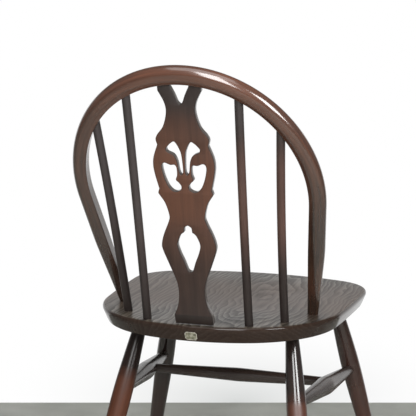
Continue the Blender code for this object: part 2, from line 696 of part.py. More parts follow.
def splat_tenon(clearance):
    """Tenon under the foot, reaching up into it."""
    half = SPLAT_TENON_HALF + clearance
    back = -SPLAT_TENON_SETBACK + clearance
    front = -SPLAT_TENON_SETBACK - SPLAT_TENON_THICKNESS - clearance
    bm = bmesh.new()
    rings = []
    for height in (-SPLAT_TENON_DEPTH - clearance, SPLAT_TENON_ROOT):
        rings.append([(-half, front, height), (half, front, height), (half, back, height),
                      (-half, back, height)])
    bridge_rings(bm, rings)
    return bm


def prong_socket(top, side):
    """Mortise in the bow for one prong."""
    rings = []
    for height in (top - 2 * SPLAT_PRONG_DEPTH, top + SPLAT_PRONG_DEPTH + GAP):
        ring = []
        for half, depth in ((PRONG_INNER * MILLIMETRE - GAP, -GAP), (PRONG_OUTER * MILLIMETRE + GAP, -GAP),
                            (PRONG_OUTER * MILLIMETRE + GAP, SPLAT_THICKNESS + GAP),
                            (PRONG_INNER * MILLIMETRE - GAP, SPLAT_THICKNESS + GAP)):
            ring.append(splat_point(side * half, height, depth))
        rings.append(ring)
    bm = bmesh.new()
    bridge_rings(bm, rings)
    return bm


def build_splat(parent, seat, bow):
    """Pierced splat tenoned into the seat, with two prongs let into the bow."""
    place = Matrix.Translation((0.0, SPLAT_FOOT_Y, SEAT_HEIGHT + GAP))
    top = splat_top()
    splat = add_part("splat", splat_blade(top), place, parent, (0.095, 0.050, 0.034), 0.30)
    combine(splat, splat_tenon(0.0), "splat_tenon", place, "UNION")
    combine(seat, splat_tenon(GAP), "splat_mortise", place, "DIFFERENCE")
    for label, side in SIDES.items():
        combine(bow, prong_socket(top, side), f"prong_socket_{label}", place, "DIFFERENCE")


# Whole chair

def build_chair():
    """Build every piece under one empty at the middle of the floor plan."""
    clear_scene()
    chair = bpy.data.objects.new("chair", None)
    bpy.context.collection.objects.link(chair)
    seat = build_seat(chair)
    build_label(chair)
    bow = build_bow(chair, seat)
    side_stretchers = []
    cross_ends = []
    for label, side in SIDES.items():
        rear_leg = build_leg(f"leg_rear_{label}", REAR_LEG, side, chair, seat)
        front_leg = build_leg(f"leg_front_{label}", FRONT_LEG, side, chair, seat)
        start = at_height(leg_ends(REAR_LEG, side), SIDE_STRETCHER_REAR_HEIGHT)
        end = at_height(leg_ends(FRONT_LEG, side), SIDE_STRETCHER_FRONT_HEIGHT)
        neck = LEG_SWELL_DIAMETER / 2 + STRETCHER_NECK
        sizes = (SIDE_STRETCHER_TENON, SIDE_STRETCHER_DIAMETER, neck)
        side_stretchers.append(build_stretcher(f"side_stretcher_{label}", start, end, sizes,
                                               (rear_leg, front_leg), chair))
        cross_ends.append(start.lerp(end, CROSS_STRETCHER_SHARE))
        build_wedge(label, side, chair, bow)
        build_spindle(f"spindle_outer_{label}", OUTER_SPINDLE_FOOT, OUTER_SPINDLE_TOP_HALF,
                      OUTER_SPINDLE_SPRING, side, chair, (seat, bow))
        build_spindle(f"spindle_inner_{label}", INNER_SPINDLE_FOOT, INNER_SPINDLE_TOP_HALF,
                      INNER_SPINDLE_SPRING, side, chair, (seat, bow))
    neck = SIDE_STRETCHER_DIAMETER / 2 + STRETCHER_NECK
    sizes = (CROSS_STRETCHER_TENON, CROSS_STRETCHER_DIAMETER, neck)
    build_stretcher("cross_stretcher", *cross_ends, sizes, side_stretchers, chair)
    build_splat(chair, seat, bow)


if __name__ == "__main__":
    build_chair()
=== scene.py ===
"""Looks of a dark stained Windsor dining chair with a pierced splat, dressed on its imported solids."""

import logging
import math
from dataclasses import dataclass, replace
from enum import Enum
from typing import Callable, Iterable, Sequence

import bmesh
import bpy
from bpy.types import Camera, Light, Material, Node, NodeSocket, NodeTree, Object
from mathutils import Matrix, Vector


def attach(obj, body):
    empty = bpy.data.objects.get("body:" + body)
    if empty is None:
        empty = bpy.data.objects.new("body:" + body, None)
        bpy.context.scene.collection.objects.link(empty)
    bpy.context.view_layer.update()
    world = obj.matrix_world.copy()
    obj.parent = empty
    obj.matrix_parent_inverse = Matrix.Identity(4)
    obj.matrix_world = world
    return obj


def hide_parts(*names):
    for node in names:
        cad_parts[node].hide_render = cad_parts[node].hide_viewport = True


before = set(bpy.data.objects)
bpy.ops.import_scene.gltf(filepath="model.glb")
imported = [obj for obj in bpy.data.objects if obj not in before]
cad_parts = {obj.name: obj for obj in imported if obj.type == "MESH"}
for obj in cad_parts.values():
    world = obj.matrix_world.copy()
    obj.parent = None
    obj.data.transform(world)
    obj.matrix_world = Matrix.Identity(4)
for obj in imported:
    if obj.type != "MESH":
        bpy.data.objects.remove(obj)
log = logging.getLogger("chair")

BODY = "root"
MILLIMETRE = 0.001
MERGE = 1e-6
QUARTER_TURN = math.pi / 2
SMOOTH_ANGLE = math.radians(38)
EASED_STEPS = 3
# sRGB curve: end of its straight toe, slope of the toe, then offset and power of the rest
SRGB_TOE, SRGB_SLOPE, SRGB_OFFSET, SRGB_POWER = 0.04045, 12.92, 0.055, 2.4
# Sockets of a mix node that share their names: the amount, then both values and the result of each kind
AMOUNT, NUMBER_A, NUMBER_B, COLOUR_A, COLOUR_B = 0, 2, 3, 6, 7
NUMBER_OUT, COLOUR_OUT = 0, 2
# A ring texture turns through this many radians for each unit of length at a scale of one
RING_RADIANS = 20

Colour = tuple[float, float, float, float]
# (height along the grain in metres, amount from 0 to 1) points, lowest first
Spans = Sequence[tuple[float, float]]


class Side(Enum):
    """The two halves of the chair, as the sitter has them, with the sign of their X."""

    LEFT = 1.0
    RIGHT = -1.0

    @property
    def label(self) -> str:
        """Word for this side in a piece's name."""
        return self.name.lower()

    @property
    def index(self) -> int:
        """Place of this side in a (left, right) pair."""
        return list(Side).index(self)


class GrainSource(Enum):
    """Where a wood pattern takes its place from."""

    STRAIGHT = "object coordinates turned along the piece"
    BENT = "grain attribute that follows the bend"


class Cut(Enum):
    """How a board or billet was sawn from the log."""

    RIFT = "straight bands along the piece"
    FLAT = "long lines with nested ovals in the middle"


# Small tools for meshes and nodes

def linear(hex_colour: str) -> Colour:
    """Turn an sRGB hex colour into linear values.

    Args:
        hex_colour: six hex digits, red first.

    Returns:
        Linear red, green, blue and an alpha of one.
    """
    values = []
    for start in (0, 2, 4):
        share = int(hex_colour[start:start + 2], 16) / 255
        curved = ((share + SRGB_OFFSET) / (1 + SRGB_OFFSET)) ** SRGB_POWER
        values.append(share / SRGB_SLOPE if share <= SRGB_TOE else curved)
    return values[0], values[1], values[2], 1.0


def per_metre(size_mm: float) -> float:
    """Pattern frequency in cycles per metre for a size in millimetres."""
    return 1 / (size_mm * MILLIMETRE)


def new_material(name: str) -> tuple[Material, NodeTree, Node]:
    """Start a material.

    Args:
        name: name of the material.

    Returns:
        The material, its node tree and its surface shader.
    """
    material = bpy.data.materials.new(name)
    material.use_nodes = True
    return material, material.node_tree, material.node_tree.nodes["Principled BSDF"]


def fill_sockets(tree: NodeTree, node: Node, inputs: dict) -> None:
    """Give sockets of a node their values and links.

    Args:
        tree: node tree that holds the node.
        node: node to fill in.
        inputs: socket name or index to a value, or to an output socket to link.
    """
    for key, value in inputs.items():
        if isinstance(value, NodeSocket):
            tree.links.new(value, node.inputs[key])
        else:
            node.inputs[key].default_value = value


def add_node(tree: NodeTree, kind: str, inputs: dict | None = None, **settings: object) -> Node:
    """Add a shader node with its settings, values and links.

    Args:
        tree: node tree that gets the node.
        kind: name of the node type, without the words that all of them start with.
        inputs: values and links of its sockets.
        settings: attributes to set before the inputs.

    Returns:
        The new node.
    """
    node = tree.nodes.new(f"ShaderNode{kind}")
    for key, value in settings.items():
        setattr(node, key, value)
    fill_sockets(tree, node, inputs or {})
    return node


def set_stops(ramp: Node, stops: Sequence[tuple[float, Colour]]) -> None:
    """Give a colour ramp its stops.

    Args:
        ramp: colour ramp node.
        stops: (position, linear colour) pairs, lowest first.
    """
    elements = ramp.color_ramp.elements
    elements[0].position, elements[0].color = stops[0]
    elements[1].position, elements[1].color = stops[-1]
    for position, colour in stops[1:-1]:
        elements.new(position).color = colour


def mirror(points: Iterable[Vector]) -> list[Vector]:
    """Reflect outline points in the chair's middle line."""
    return [Vector((-p.x, p.y)) for p in points]


def deselect_all() -> None:
    """Leave edit mode and clear the selection before a new primitive."""
    if bpy.context.object and bpy.context.object.mode != "OBJECT":
        bpy.ops.object.mode_set(mode="OBJECT")
    bpy.ops.object.select_all(action="DESELECT")


def sew() -> None:
    """Merge the doubled points of the mesh in edit mode."""
    bpy.ops.mesh.select_all(action="SELECT")
    bpy.ops.mesh.remove_doubles(threshold=MERGE)


def point_outwards() -> None:
    """Select the whole mesh in edit mode and turn its faces outwards."""
    bpy.ops.mesh.select_all(action="SELECT")
    bpy.ops.mesh.normals_make_consistent(inside=False)


def smooth_run(knots: Sequence[Sequence[float]], steps: int, closed: bool = False) -> list[Vector]:
    """Sample a smooth curve through knots.

    Args:
        knots: points that the curve passes through.
        steps: samples for each span.
        closed: whether the last knot runs on into the first.

    Returns:
        Sampled points; an open run keeps its last knot, a closed one repeats none.
    """
    points = [Vector(knot) for knot in knots]
    count = len(points)
    result = []
    for i in range(count if closed else count - 1):
        start, end = points[i], points[(i + 1) % count]
        before = points[i - 1] if closed or i > 0 else start
        after = points[(i + 2) % count] if closed or i + 2 < count else end
        for k in range(steps):
            t = k / steps
            leave = (end - before) / 2 * (t ** 3 - 2 * t ** 2 + t)
            arrive = (after - start) / 2 * (t ** 3 - t ** 2)
            blend = 3 * t ** 2 - 2 * t ** 3
            result.append(start * (1 - blend) + end * blend + leave + arrive)
    return result if closed else result + [points[-1]]


def wrap_sheet(rings: Sequence[Sequence[Vector]], grain: Sequence[Sequence[Vector]] | None = None,
               capped: bool = True) -> Object:
    """Wrap a grid sheet into a tube through a stack of rings and sew its long edges.

    Args:
        rings: equal rings of points, first to last along the piece.
        grain: the same points in the straight piece, kept as an attribute for its pattern.
        capped: whether both ends are closed.

    Returns:
        The new object, in edit mode with all of it selected.
    """
    around, along = len(rings[0]), len(rings)
    deselect_all()
    bpy.ops.mesh.primitive_grid_add(x_subdivisions=around, y_subdivisions=along - 1)
    obj = bpy.context.object
    places = [(row, i % around) for row in range(along) for i in range(around + 1)]
    for vert, (row, i) in zip(obj.data.vertices, places, strict=True):
        vert.co = rings[row][i]
    if grain is not None:
        layer = obj.data.attributes.new("grain", "FLOAT_VECTOR", "POINT")
        for item, (row, i) in zip(layer.data, places, strict=True):
            item.vector = grain[row][i]
    bpy.ops.object.mode_set(mode="EDIT")
    sew()
    if capped:
        bpy.ops.mesh.fill_holes(sides=0)
    point_outwards()
    return obj


def select_where(obj: Object, wanted: Callable[[bmesh.types.BMVert], bool]) -> None:
    """Select the vertices of an object in edit mode that pass a test, and the edges between them.

    Args:
        obj: object in edit mode.
        wanted: test on a vertex.
    """
    bpy.ops.mesh.select_all(action="DESELECT")
    mesh = bmesh.from_edit_mesh(obj.data)
    for vert in mesh.verts:
        vert.select_set(wanted(vert))
    mesh.select_flush(True)
    bmesh.update_edit_mesh(obj.data)


def settle(obj: Object, name: str, place: Matrix, *finishes: Material) -> None:
    """Put a finished mesh in its place with its object at the origin, and dress it.

    Args:
        obj: object to finish.
        name: name of the piece.
        place: matrix from the piece's own frame to the chair's.
        finishes: materials of the piece.
    """
    deselect_all()
    obj.select_set(True)
    bpy.context.view_layer.objects.active = obj
    obj.name = name
    obj.data.name = name
    obj.matrix_world = place
    bpy.ops.object.transform_apply(location=True, rotation=True, scale=True)
    bpy.ops.object.shade_smooth_by_angle(angle=SMOOTH_ANGLE)
    for finish in finishes:
        obj.data.materials.append(finish)


def saw_level(obj: Object, height: float, arris: float) -> None:
    """Saw a placed piece level at a height, drop what is below and ease the cut's edge.

    Args:
        obj: placed piece, in object mode.
        height: height of the cut above the floor.
        arris: width of the eased edge.
    """
    bpy.ops.object.mode_set(mode="EDIT")
    bpy.ops.mesh.select_all(action="SELECT")
    bpy.ops.mesh.bisect(plane_co=(0.0, 0.0, height), plane_no=(0.0, 0.0, 1.0), use_fill=True,
                        clear_inner=True)
    select_where(obj, lambda vert: vert.co.z < height + MERGE)
    bpy.ops.mesh.bevel(offset=arris, segments=EASED_STEPS)
    bpy.ops.object.mode_set(mode="OBJECT")
    bpy.ops.object.shade_smooth_by_angle(angle=SMOOTH_ANGLE)


def enrol(obj: Object, node: str) -> None:
    """Let a piece ride with the chair in the stead of a solid.

    Args:
        obj: finished piece.
        node: solid that it stands for.
    """
    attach(obj, BODY)
    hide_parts(node)
    log.info("%s: %d faces", obj.name, len(obj.data.polygons))


def set_up(data: Light | Camera, place: Sequence[float], look: Vector) -> Object:
    """Set a lamp or a camera up.

    Args:
        data: the lamp or camera.
        place: where it stands.
        look: direction that it faces.

    Returns:
        Its object.
    """
    obj = bpy.data.objects.new(data.name, data)
    bpy.context.collection.objects.link(obj)
    obj.location = place
    obj.rotation_euler = look.to_track_quat("-Z", "Y").to_euler()
    return obj


def aim(start: Vector, end: Vector) -> Matrix:
    """Frame at a start point with +Z towards an end point."""
    return Matrix.Translation(start) @ (end - start).to_track_quat("Z", "Y").to_matrix().to_4x4()


# Finishes

@dataclass(frozen=True)
class Grain:
    """Where the pattern of one piece is drawn: its nodes, the place in the piece and the pattern's start."""

    tree: NodeTree
    local: NodeSocket
    start: tuple[float, ...]
    streak_roughness: float = 0.55

    def streaks(self, across_mm: float, along_mm: float, detail: float) -> NodeSocket:
        """Noise drawn out along the grain.

        Args:
            across_mm: width of a streak.
            along_mm: length of a streak.
            detail: octaves of finer noise.

        Returns:
            Socket of the pattern, about one half in the mean.
        """
        size = (per_metre(across_mm), per_metre(across_mm), per_metre(along_mm))
        drawn = add_node(self.tree, "Mapping", {"Vector": self.local, "Location": self.start, "Scale": size})
        noise = add_node(self.tree, "TexNoise", {"Vector": drawn.outputs[0], "Scale": 1.0, "Detail": detail,
                                                 "Roughness": self.streak_roughness})
        return noise.outputs["Fac"]

    def weigh(self, parts: Iterable[tuple[NodeSocket, float]], base: NodeSocket | float = 0.0) -> NodeSocket:
        """Add several patterns up.

        Args:
            parts: pattern sockets with their weights.
            base: what they are added to.

        Returns:
            Socket of the weighted sum.
        """
        total = base
        for socket, weight in parts:
            inputs = {0: socket, 1: weight, 2: total}
            total = add_node(self.tree, "Math", inputs, operation="MULTIPLY_ADD").outputs[0]
        return total


@dataclass(frozen=True)
class StainedWood:
    """Hardwood stained dark walnut, then sprayed with a satin lacquer.

    Stain gathers in the pores and late wood, so the grain reads as soft dark lines on a brown ground. Edges
    take it otherwise than faces, and sawn edges are painted a pale grey for the light they catch. Handling
    thins it to a redder brown and takes its gloss. Painted shade darkens a board where it meets other parts,
    and a painted grey sheen stands for the reflections on slim rods; both dull the gloss as wear does. The
    lacquer lays a clear gloss over what is left.
    """

    name: str
    cut: Cut = Cut.RIFT
    dark: str = "161110"
    ground: str = "241C1A"
    light: str = "332722"
    worn: str = "6A3E2B"
    # Colour of painted shade and painted grey sheen, laid along a piece by height as wear is
    painted_shade_and_sheen: str = "1B1918"
    # Colour of a board's edges: the seat's own darker stain, and on sawn edges a painted pale grey for the
    # light they catch
    edge: str = ""
    arris: str = ""
    # Half the range of the grain pattern that the colours spread over: a wide range leaves a quiet grain.
    spread: float = 0.26
    band_mm: float = 7.0
    band_run_mm: float = 230.0
    band_detail: float = 2.0
    # Pores are about a third of this wide: they are drawn coarse, so that they show.
    fibre_mm: float = 2.4
    fibre_run_mm: float = 60.0
    fibre_detail: float = 4.0
    blotch_mm: float = 75.0
    blotch_stretch: float = 2.0
    blotch_detail: float = 2.0
    # A flat-sawn board shows the rings of a log whose heart lies below it and swings along its length.
    ring_mm: float = 5.5
    ring_distortion: float = 3.0
    ring_detail: float = 2.0
    ring_detail_scale: float = 0.5
    pith_mm: float = 100.0
    swing_mm: float = 20.0
    swing_run_mm: float = 760.0
    wander_mm: float = 34.0
    # Width, length and detail of the slow streaks that push the rings up and down, and to the side.
    rise_streaks: tuple[float, float, float] = (50.0, 120.0, 3.0)
    side_streaks: tuple[float, float, float] = (60.0, 110.0, 2.0)
    # Shares of bands, pores and blotches in the colour, then of pores and bands in the surface.
    weights: tuple[float, float, float] = (0.40, 0.25, 0.60)
    grit_weights: tuple[float, float] = (0.6, 0.4)
    grit_range: tuple[float, float] = (0.35, 0.65)
    # Wear, painted shade and painted sheen bite least where the grain is darkest: reach below and above the
    # middle tone, and least share.
    bite_range: tuple[float, float] = (0.2, 0.1)
    bite_least: float = 0.45
    # How far a surface is turned to the face where an edge becomes face, and where it becomes arris.
    face_turn: tuple[float, float] = (0.70, 0.97)
    arris_turn: tuple[float, float] = (0.15, 0.45)
    edge_figure: float = 0.12
    roughness: tuple[float, float] = (0.10, 0.16)
    # Roughness where worn, also used under the painted shade and sheen
    worn_roughness: float = 0.45
    edge_roughness: float = 0.16
    arris_roughness: float = 0.16
    ior: float = 1.6
    coat: float = 0.0
    coat_roughness: float = 0.08
    coat_ior: float = 1.6
    relief_mm: float = 0.002
    relief_strength: float = 0.5
    # How far the pattern starts from that of the next piece, in streaks.
    start_step: tuple[float, float, float] = (1.31, 0.57, 2.13)

    @property
    def middle(self) -> float:
        """Middle tone of the grain pattern."""
        return sum(self.weights) / 2

    def make(self, seed: int, place: Matrix, worn: Spans = (), painted_light_spans: Spans = (),
             face: Vector | None = None, source: GrainSource = GrainSource.STRAIGHT) -> Material:
        """Make the material for one piece.

        Args:
            seed: number that shifts the pattern, so no two pieces match.
            place: frame of the piece, with the grain along its Z.
            worn: where handling has thinned the stain.
            painted_light_spans: where painted shade and painted grey sheen lie on it.
            face: direction square to a board's flat faces, if its edges differ from them.
            source: where the pattern takes its place from.

        Returns:
            The material.
        """
        material, tree, shader = new_material(f"{self.name}_{seed}")
        if source is GrainSource.BENT:
            local = add_node(tree, "Attribute", attribute_name="grain").outputs["Vector"]
        else:
            spot = add_node(tree, "TexCoord").outputs["Object"]
            turned = {"Vector": spot, "Location": place.translation, "Rotation": place.to_euler()}
            local = add_node(tree, "Mapping", turned, vector_type="TEXTURE").outputs["Vector"]
        grain = Grain(tree, local, tuple(step * seed for step in self.start_step))
        bands = self.figure(grain)
        fibre = grain.streaks(self.fibre_mm, self.fibre_run_mm, self.fibre_detail)
        blotch = grain.streaks(self.blotch_mm, self.blotch_mm * self.blotch_stretch, self.blotch_detail)
        tone = grain.weigh(zip((bands, fibre, blotch), self.weights))
        colouring = add_node(tree, "ValToRGB", {"Fac": tone})
        set_stops(colouring, ((self.middle - self.spread, linear(self.dark)), (self.middle, linear(self.ground)),
                          (self.middle + self.spread, linear(self.light))))
        colour = colouring.outputs["Color"]
        grit = grain.weigh(zip((fibre, bands), self.grit_weights))
        (low, high), (shiny, dull) = self.grit_range, self.roughness
        gloss = add_node(tree, "MapRange", {"Value": grit, "From Min": low, "From Max": high,
                                            "To Min": dull, "To Max": shiny}).outputs[0]
        # Wear, then painted shade and painted grey sheen: each recolours the piece along its length and
        # dulls its gloss
        for spans, tint in ((worn, self.worn), (painted_light_spans, self.painted_shade_and_sheen)):
            if spans:
                amount = self.amount_along(grain, tone, spans)
                colour = add_node(tree, "Mix", {AMOUNT: amount, COLOUR_A: colour, COLOUR_B: linear(tint)},
                                  data_type="RGBA").outputs[COLOUR_OUT]
                dulled = {AMOUNT: amount, NUMBER_A: gloss, NUMBER_B: self.worn_roughness}
                gloss = add_node(tree, "Mix", dulled, data_type="FLOAT").outputs[NUMBER_OUT]
        if face is not None:
            colour, gloss = self.dress_edges(tree, colour, gloss, face)
        relief = add_node(tree, "Bump", {"Height": grit, "Strength": self.relief_strength,
                                         "Distance": self.relief_mm * MILLIMETRE})
        fill_sockets(tree, shader, {"Base Color": colour, "Roughness": gloss, "Normal": relief.outputs[0],
                                    "IOR": self.ior, "Coat Weight": self.coat,
                                    "Coat Roughness": self.coat_roughness, "Coat IOR": self.coat_ior})
        return material

    def figure(self, grain: Grain) -> NodeSocket:
        """Growth bands as the cut shows them.

        Args:
            grain: pattern of the piece.

        Returns:
            Socket of the bands, from 0 to 1.
        """
        if self.cut is Cut.RIFT:
            return grain.streaks(self.band_mm, self.band_run_mm, self.band_detail)
        tree, wander = grain.tree, self.wander_mm * MILLIMETRE
        place = add_node(tree, "SeparateXYZ", {0: grain.local}).outputs
        turn = add_node(tree, "Math", {0: place["Z"], 1: math.tau * per_metre(self.swing_run_mm)},
                        operation="MULTIPLY")
        swing = add_node(tree, "Math", {0: turn.outputs[0]}, operation="COSINE").outputs[0]
        below = add_node(tree, "Math", {0: place["Y"], 1: self.pith_mm * MILLIMETRE}, operation="ADD")
        rise = grain.streaks(*self.rise_streaks)
        side = replace(grain, start=grain.start[::-1]).streaks(*self.side_streaks)
        deep = grain.weigh(((swing, -self.swing_mm * MILLIMETRE), (rise, wander)), below.outputs[0])
        across = grain.weigh(((side, wander),), place["X"])
        log_place = add_node(tree, "CombineXYZ", {"X": across, "Y": deep}).outputs[0]
        waves = {"Vector": log_place, "Scale": math.tau * per_metre(self.ring_mm) / RING_RADIANS,
                 "Distortion": self.ring_distortion, "Detail": self.ring_detail,
                 "Detail Scale": self.ring_detail_scale}
        rings = add_node(tree, "TexWave", waves, wave_type="RINGS", rings_direction="Z", wave_profile="SAW")
        return rings.outputs["Fac"]

    def amount_along(self, grain: Grain, tone: NodeSocket, spans: Spans) -> NodeSocket:
        """How far a finish has changed along a piece, broken up by its grain.

        Args:
            grain: pattern of the piece.
            tone: tone of the grain, which breaks the change up.
            spans: how far it has changed at each height.

        Returns:
            Socket of the amount, from 0 to 1.
        """
        tree, low, high = grain.tree, spans[0][0], spans[-1][0]
        height = add_node(tree, "SeparateXYZ", {0: grain.local}).outputs["Z"]
        share = add_node(tree, "MapRange", {"Value": height, "From Min": low, "From Max": high})
        wear = add_node(tree, "ValToRGB", {"Fac": share.outputs[0]})
        wear.color_ramp.interpolation = "EASE"
        set_stops(wear, [((at - low) / (high - low), (amount, amount, amount, 1.0)) for at, amount in spans])
        bite = add_node(tree, "MapRange", {"Value": tone, "From Min": self.middle - self.bite_range[0],
                                           "From Max": self.middle + self.bite_range[1],
                                           "To Min": self.bite_least, "To Max": 1.0})
        amount = add_node(tree, "Math", {0: wear.outputs[0], 1: bite.outputs[0]}, operation="MULTIPLY")
        return amount.outputs[0]

    def dress_edges(self, tree: NodeTree, colour: NodeSocket, gloss: NodeSocket, face: Vector
                    ) -> tuple[NodeSocket, NodeSocket]:
        """Give a board's edges a colour and a polish of their own, and others to their arrises; on sawn
        edges the colour is a painted pale grey for the light they catch.

        Args:
            tree: node tree of the material.
            colour: colour of the faces.
            gloss: roughness of the faces.
            face: direction square to the faces.

        Returns:
            Sockets of the colour and the roughness all round.
        """
        normal = add_node(tree, "TexCoord").outputs["Normal"]
        turned = add_node(tree, "VectorMath", {0: normal, 1: face}, operation="DOT_PRODUCT")
        square = add_node(tree, "Math", {0: turned.outputs["Value"]}, operation="ABSOLUTE").outputs[0]
        flat, arris = (add_node(tree, "MapRange", {"Value": square, "From Min": low, "From Max": high},
                                interpolation_type="SMOOTHSTEP").outputs[0]
                       for low, high in (self.face_turn, self.arris_turn))
        colourings = [(self.edge_figure, colour), (flat, colour)]
        if self.arris:
            colourings.insert(1, (arris, linear(self.arris)))
        # Edge colour: a stain on the seat, a painted pale grey for the light on the splat's sawn edges
        colouring, polish = linear(self.edge), self.edge_roughness
        for amount, over in colourings:
            colouring = add_node(tree, "Mix", {AMOUNT: amount, COLOUR_A: colouring, COLOUR_B: over},
                             data_type="RGBA").outputs[COLOUR_OUT]
        for amount, over in ((arris, self.arris_roughness), (flat, gloss)):
            polish = add_node(tree, "Mix", {AMOUNT: amount, NUMBER_A: polish, NUMBER_B: over},
                              data_type="FLOAT").outputs[NUMBER_OUT]
        return colouring, polish


@dataclass(frozen=True)
class WornFoil:
    """Thin foil on paper, its colour rubbed away: dull metal with scuffs, and bare paper at its rim."""

    name: str
    scuff: str
    ground: str
    bright: str
    stops: tuple[float, float, float] = (0.36, 0.50, 0.66)
    scuff_mm: float = 2.0
    scuff_detail: float = 3.0
    scuff_roughness: float = 0.6
    roughness: float = 0.42
    metallic: float = 0.35

    def make(self) -> Material:
        """Make the material."""
        material, tree, shader = new_material(self.name)
        spot = add_node(tree, "TexCoord").outputs["Object"]
        wear = add_node(tree, "TexNoise", {"Vector": spot, "Scale": per_metre(self.scuff_mm),
                                           "Detail": self.scuff_detail, "Roughness": self.scuff_roughness})
        ramp = add_node(tree, "ValToRGB", {"Fac": wear.outputs["Fac"]})
        tints = (self.scuff, self.ground, self.bright)
        set_stops(ramp, [(stop, linear(tint)) for stop, tint in zip(self.stops, tints)])
        fill_sockets(tree, shader, {"Base Color": ramp.outputs["Color"], "Roughness": self.roughness,
                                    "Metallic": self.metallic})
        return material


# Wide board with wavy lines and long ovals: dull and greyish on top, darker and polished round its edge
SEAT_ELM = StainedWood("stained_elm_board_planed_and_lacquered", cut=Cut.FLAT, dark="14120F",
                       ground="3C3730", light="625B52", worn="5A463A", edge="2E211B", spread=0.15,
                       weights=(0.20, 0.42, 0.32), ring_mm=8.0, pith_mm=45.0, wander_mm=42.0,
                       roughness=(0.32, 0.46), worn_roughness=0.40, edge_roughness=0.10,
                       arris_roughness=0.10, ior=1.35, fibre_mm=3.0, fibre_run_mm=140.0, relief_mm=0.01)
# Near black with sharp streaks of light, and a matt red brown where feet have rubbed it
TURNED_BEECH = StainedWood("stained_beech_turned_and_lacquered", worn="5E2E18", worn_roughness=0.65, ior=1.7)
# The same, dull all over
RUBBED_BEECH = StainedWood("stained_beech_turned_and_rubbed_dull", worn="643722", roughness=(0.20, 0.28),
                           worn_roughness=0.75, ior=1.35)
# A little paler and greyer than the legs, a painted sheen for the light on their tops, with a softer shine
STRETCHER_BEECH = StainedWood("stained_beech_stretcher_turned_and_lacquered", dark="211B18", ground="362C28",
                              light="483A34", roughness=(0.20, 0.30))
# Slim rods with hardly any shine, warm in the middle where backs rub, with a painted grey sheen towards
# their tops
SPINDLE_BEECH = StainedWood("stained_beech_rod_turned_and_oiled", dark="191513", ground="27211F",
                            light="382F2C", worn="684B41", painted_shade_and_sheen="413C3C", roughness=(0.45, 0.55),
                            worn_roughness=0.55, ior=1.4)
# Brown with fine streaks along the bend, under a thick clear coat with one broad bright highlight
BENT_BEECH = StainedWood("stained_beech_steam_bent_and_lacquered", dark="1B130F", ground="33231A",
                         light="4E3427", worn="6E422F", spread=0.20, band_mm=5.0, band_run_mm=160.0,
                         fibre_mm=3.2, weights=(0.45, 0.40, 0.45), roughness=(0.42, 0.52), ior=1.25,
                         coat=1.0, coat_roughness=0.15, coat_ior=1.9)
# Matt reddish board whose sawn edges are painted a pale grey for the light they catch, with near-black
# arrises and painted shade towards its foot and top
SAWN_BEECH = StainedWood("stained_beech_sawn_and_oiled", dark="1F1714", ground="352823", light="493830",
                         worn="64402F", painted_shade_and_sheen="2A2625", edge="5A5552", arris="120D0C",
                         roughness=(0.45, 0.55), worn_roughness=0.5, edge_roughness=0.08,
                         arris_roughness=0.6, ior=1.45)
# End grain, dark and matt
END_BEECH = StainedWood("stained_beech_end_grain", roughness=(0.5, 0.6), ior=1.45, relief_mm=0.03)
# Dull gold-grey foil, and the paler paper that its rim has lost it from
LABEL_FOIL = WornFoil("worn_foil", scuff="5E5A4C", ground="8C8A76", bright="B8B4A2", scuff_mm=5.0)
LABEL_RIM = WornFoil("bare_paper_rim", scuff="8E897C", ground="BDB8AA", bright="DAD6CA", roughness=0.7,
                     metallic=0.0)


# Seat

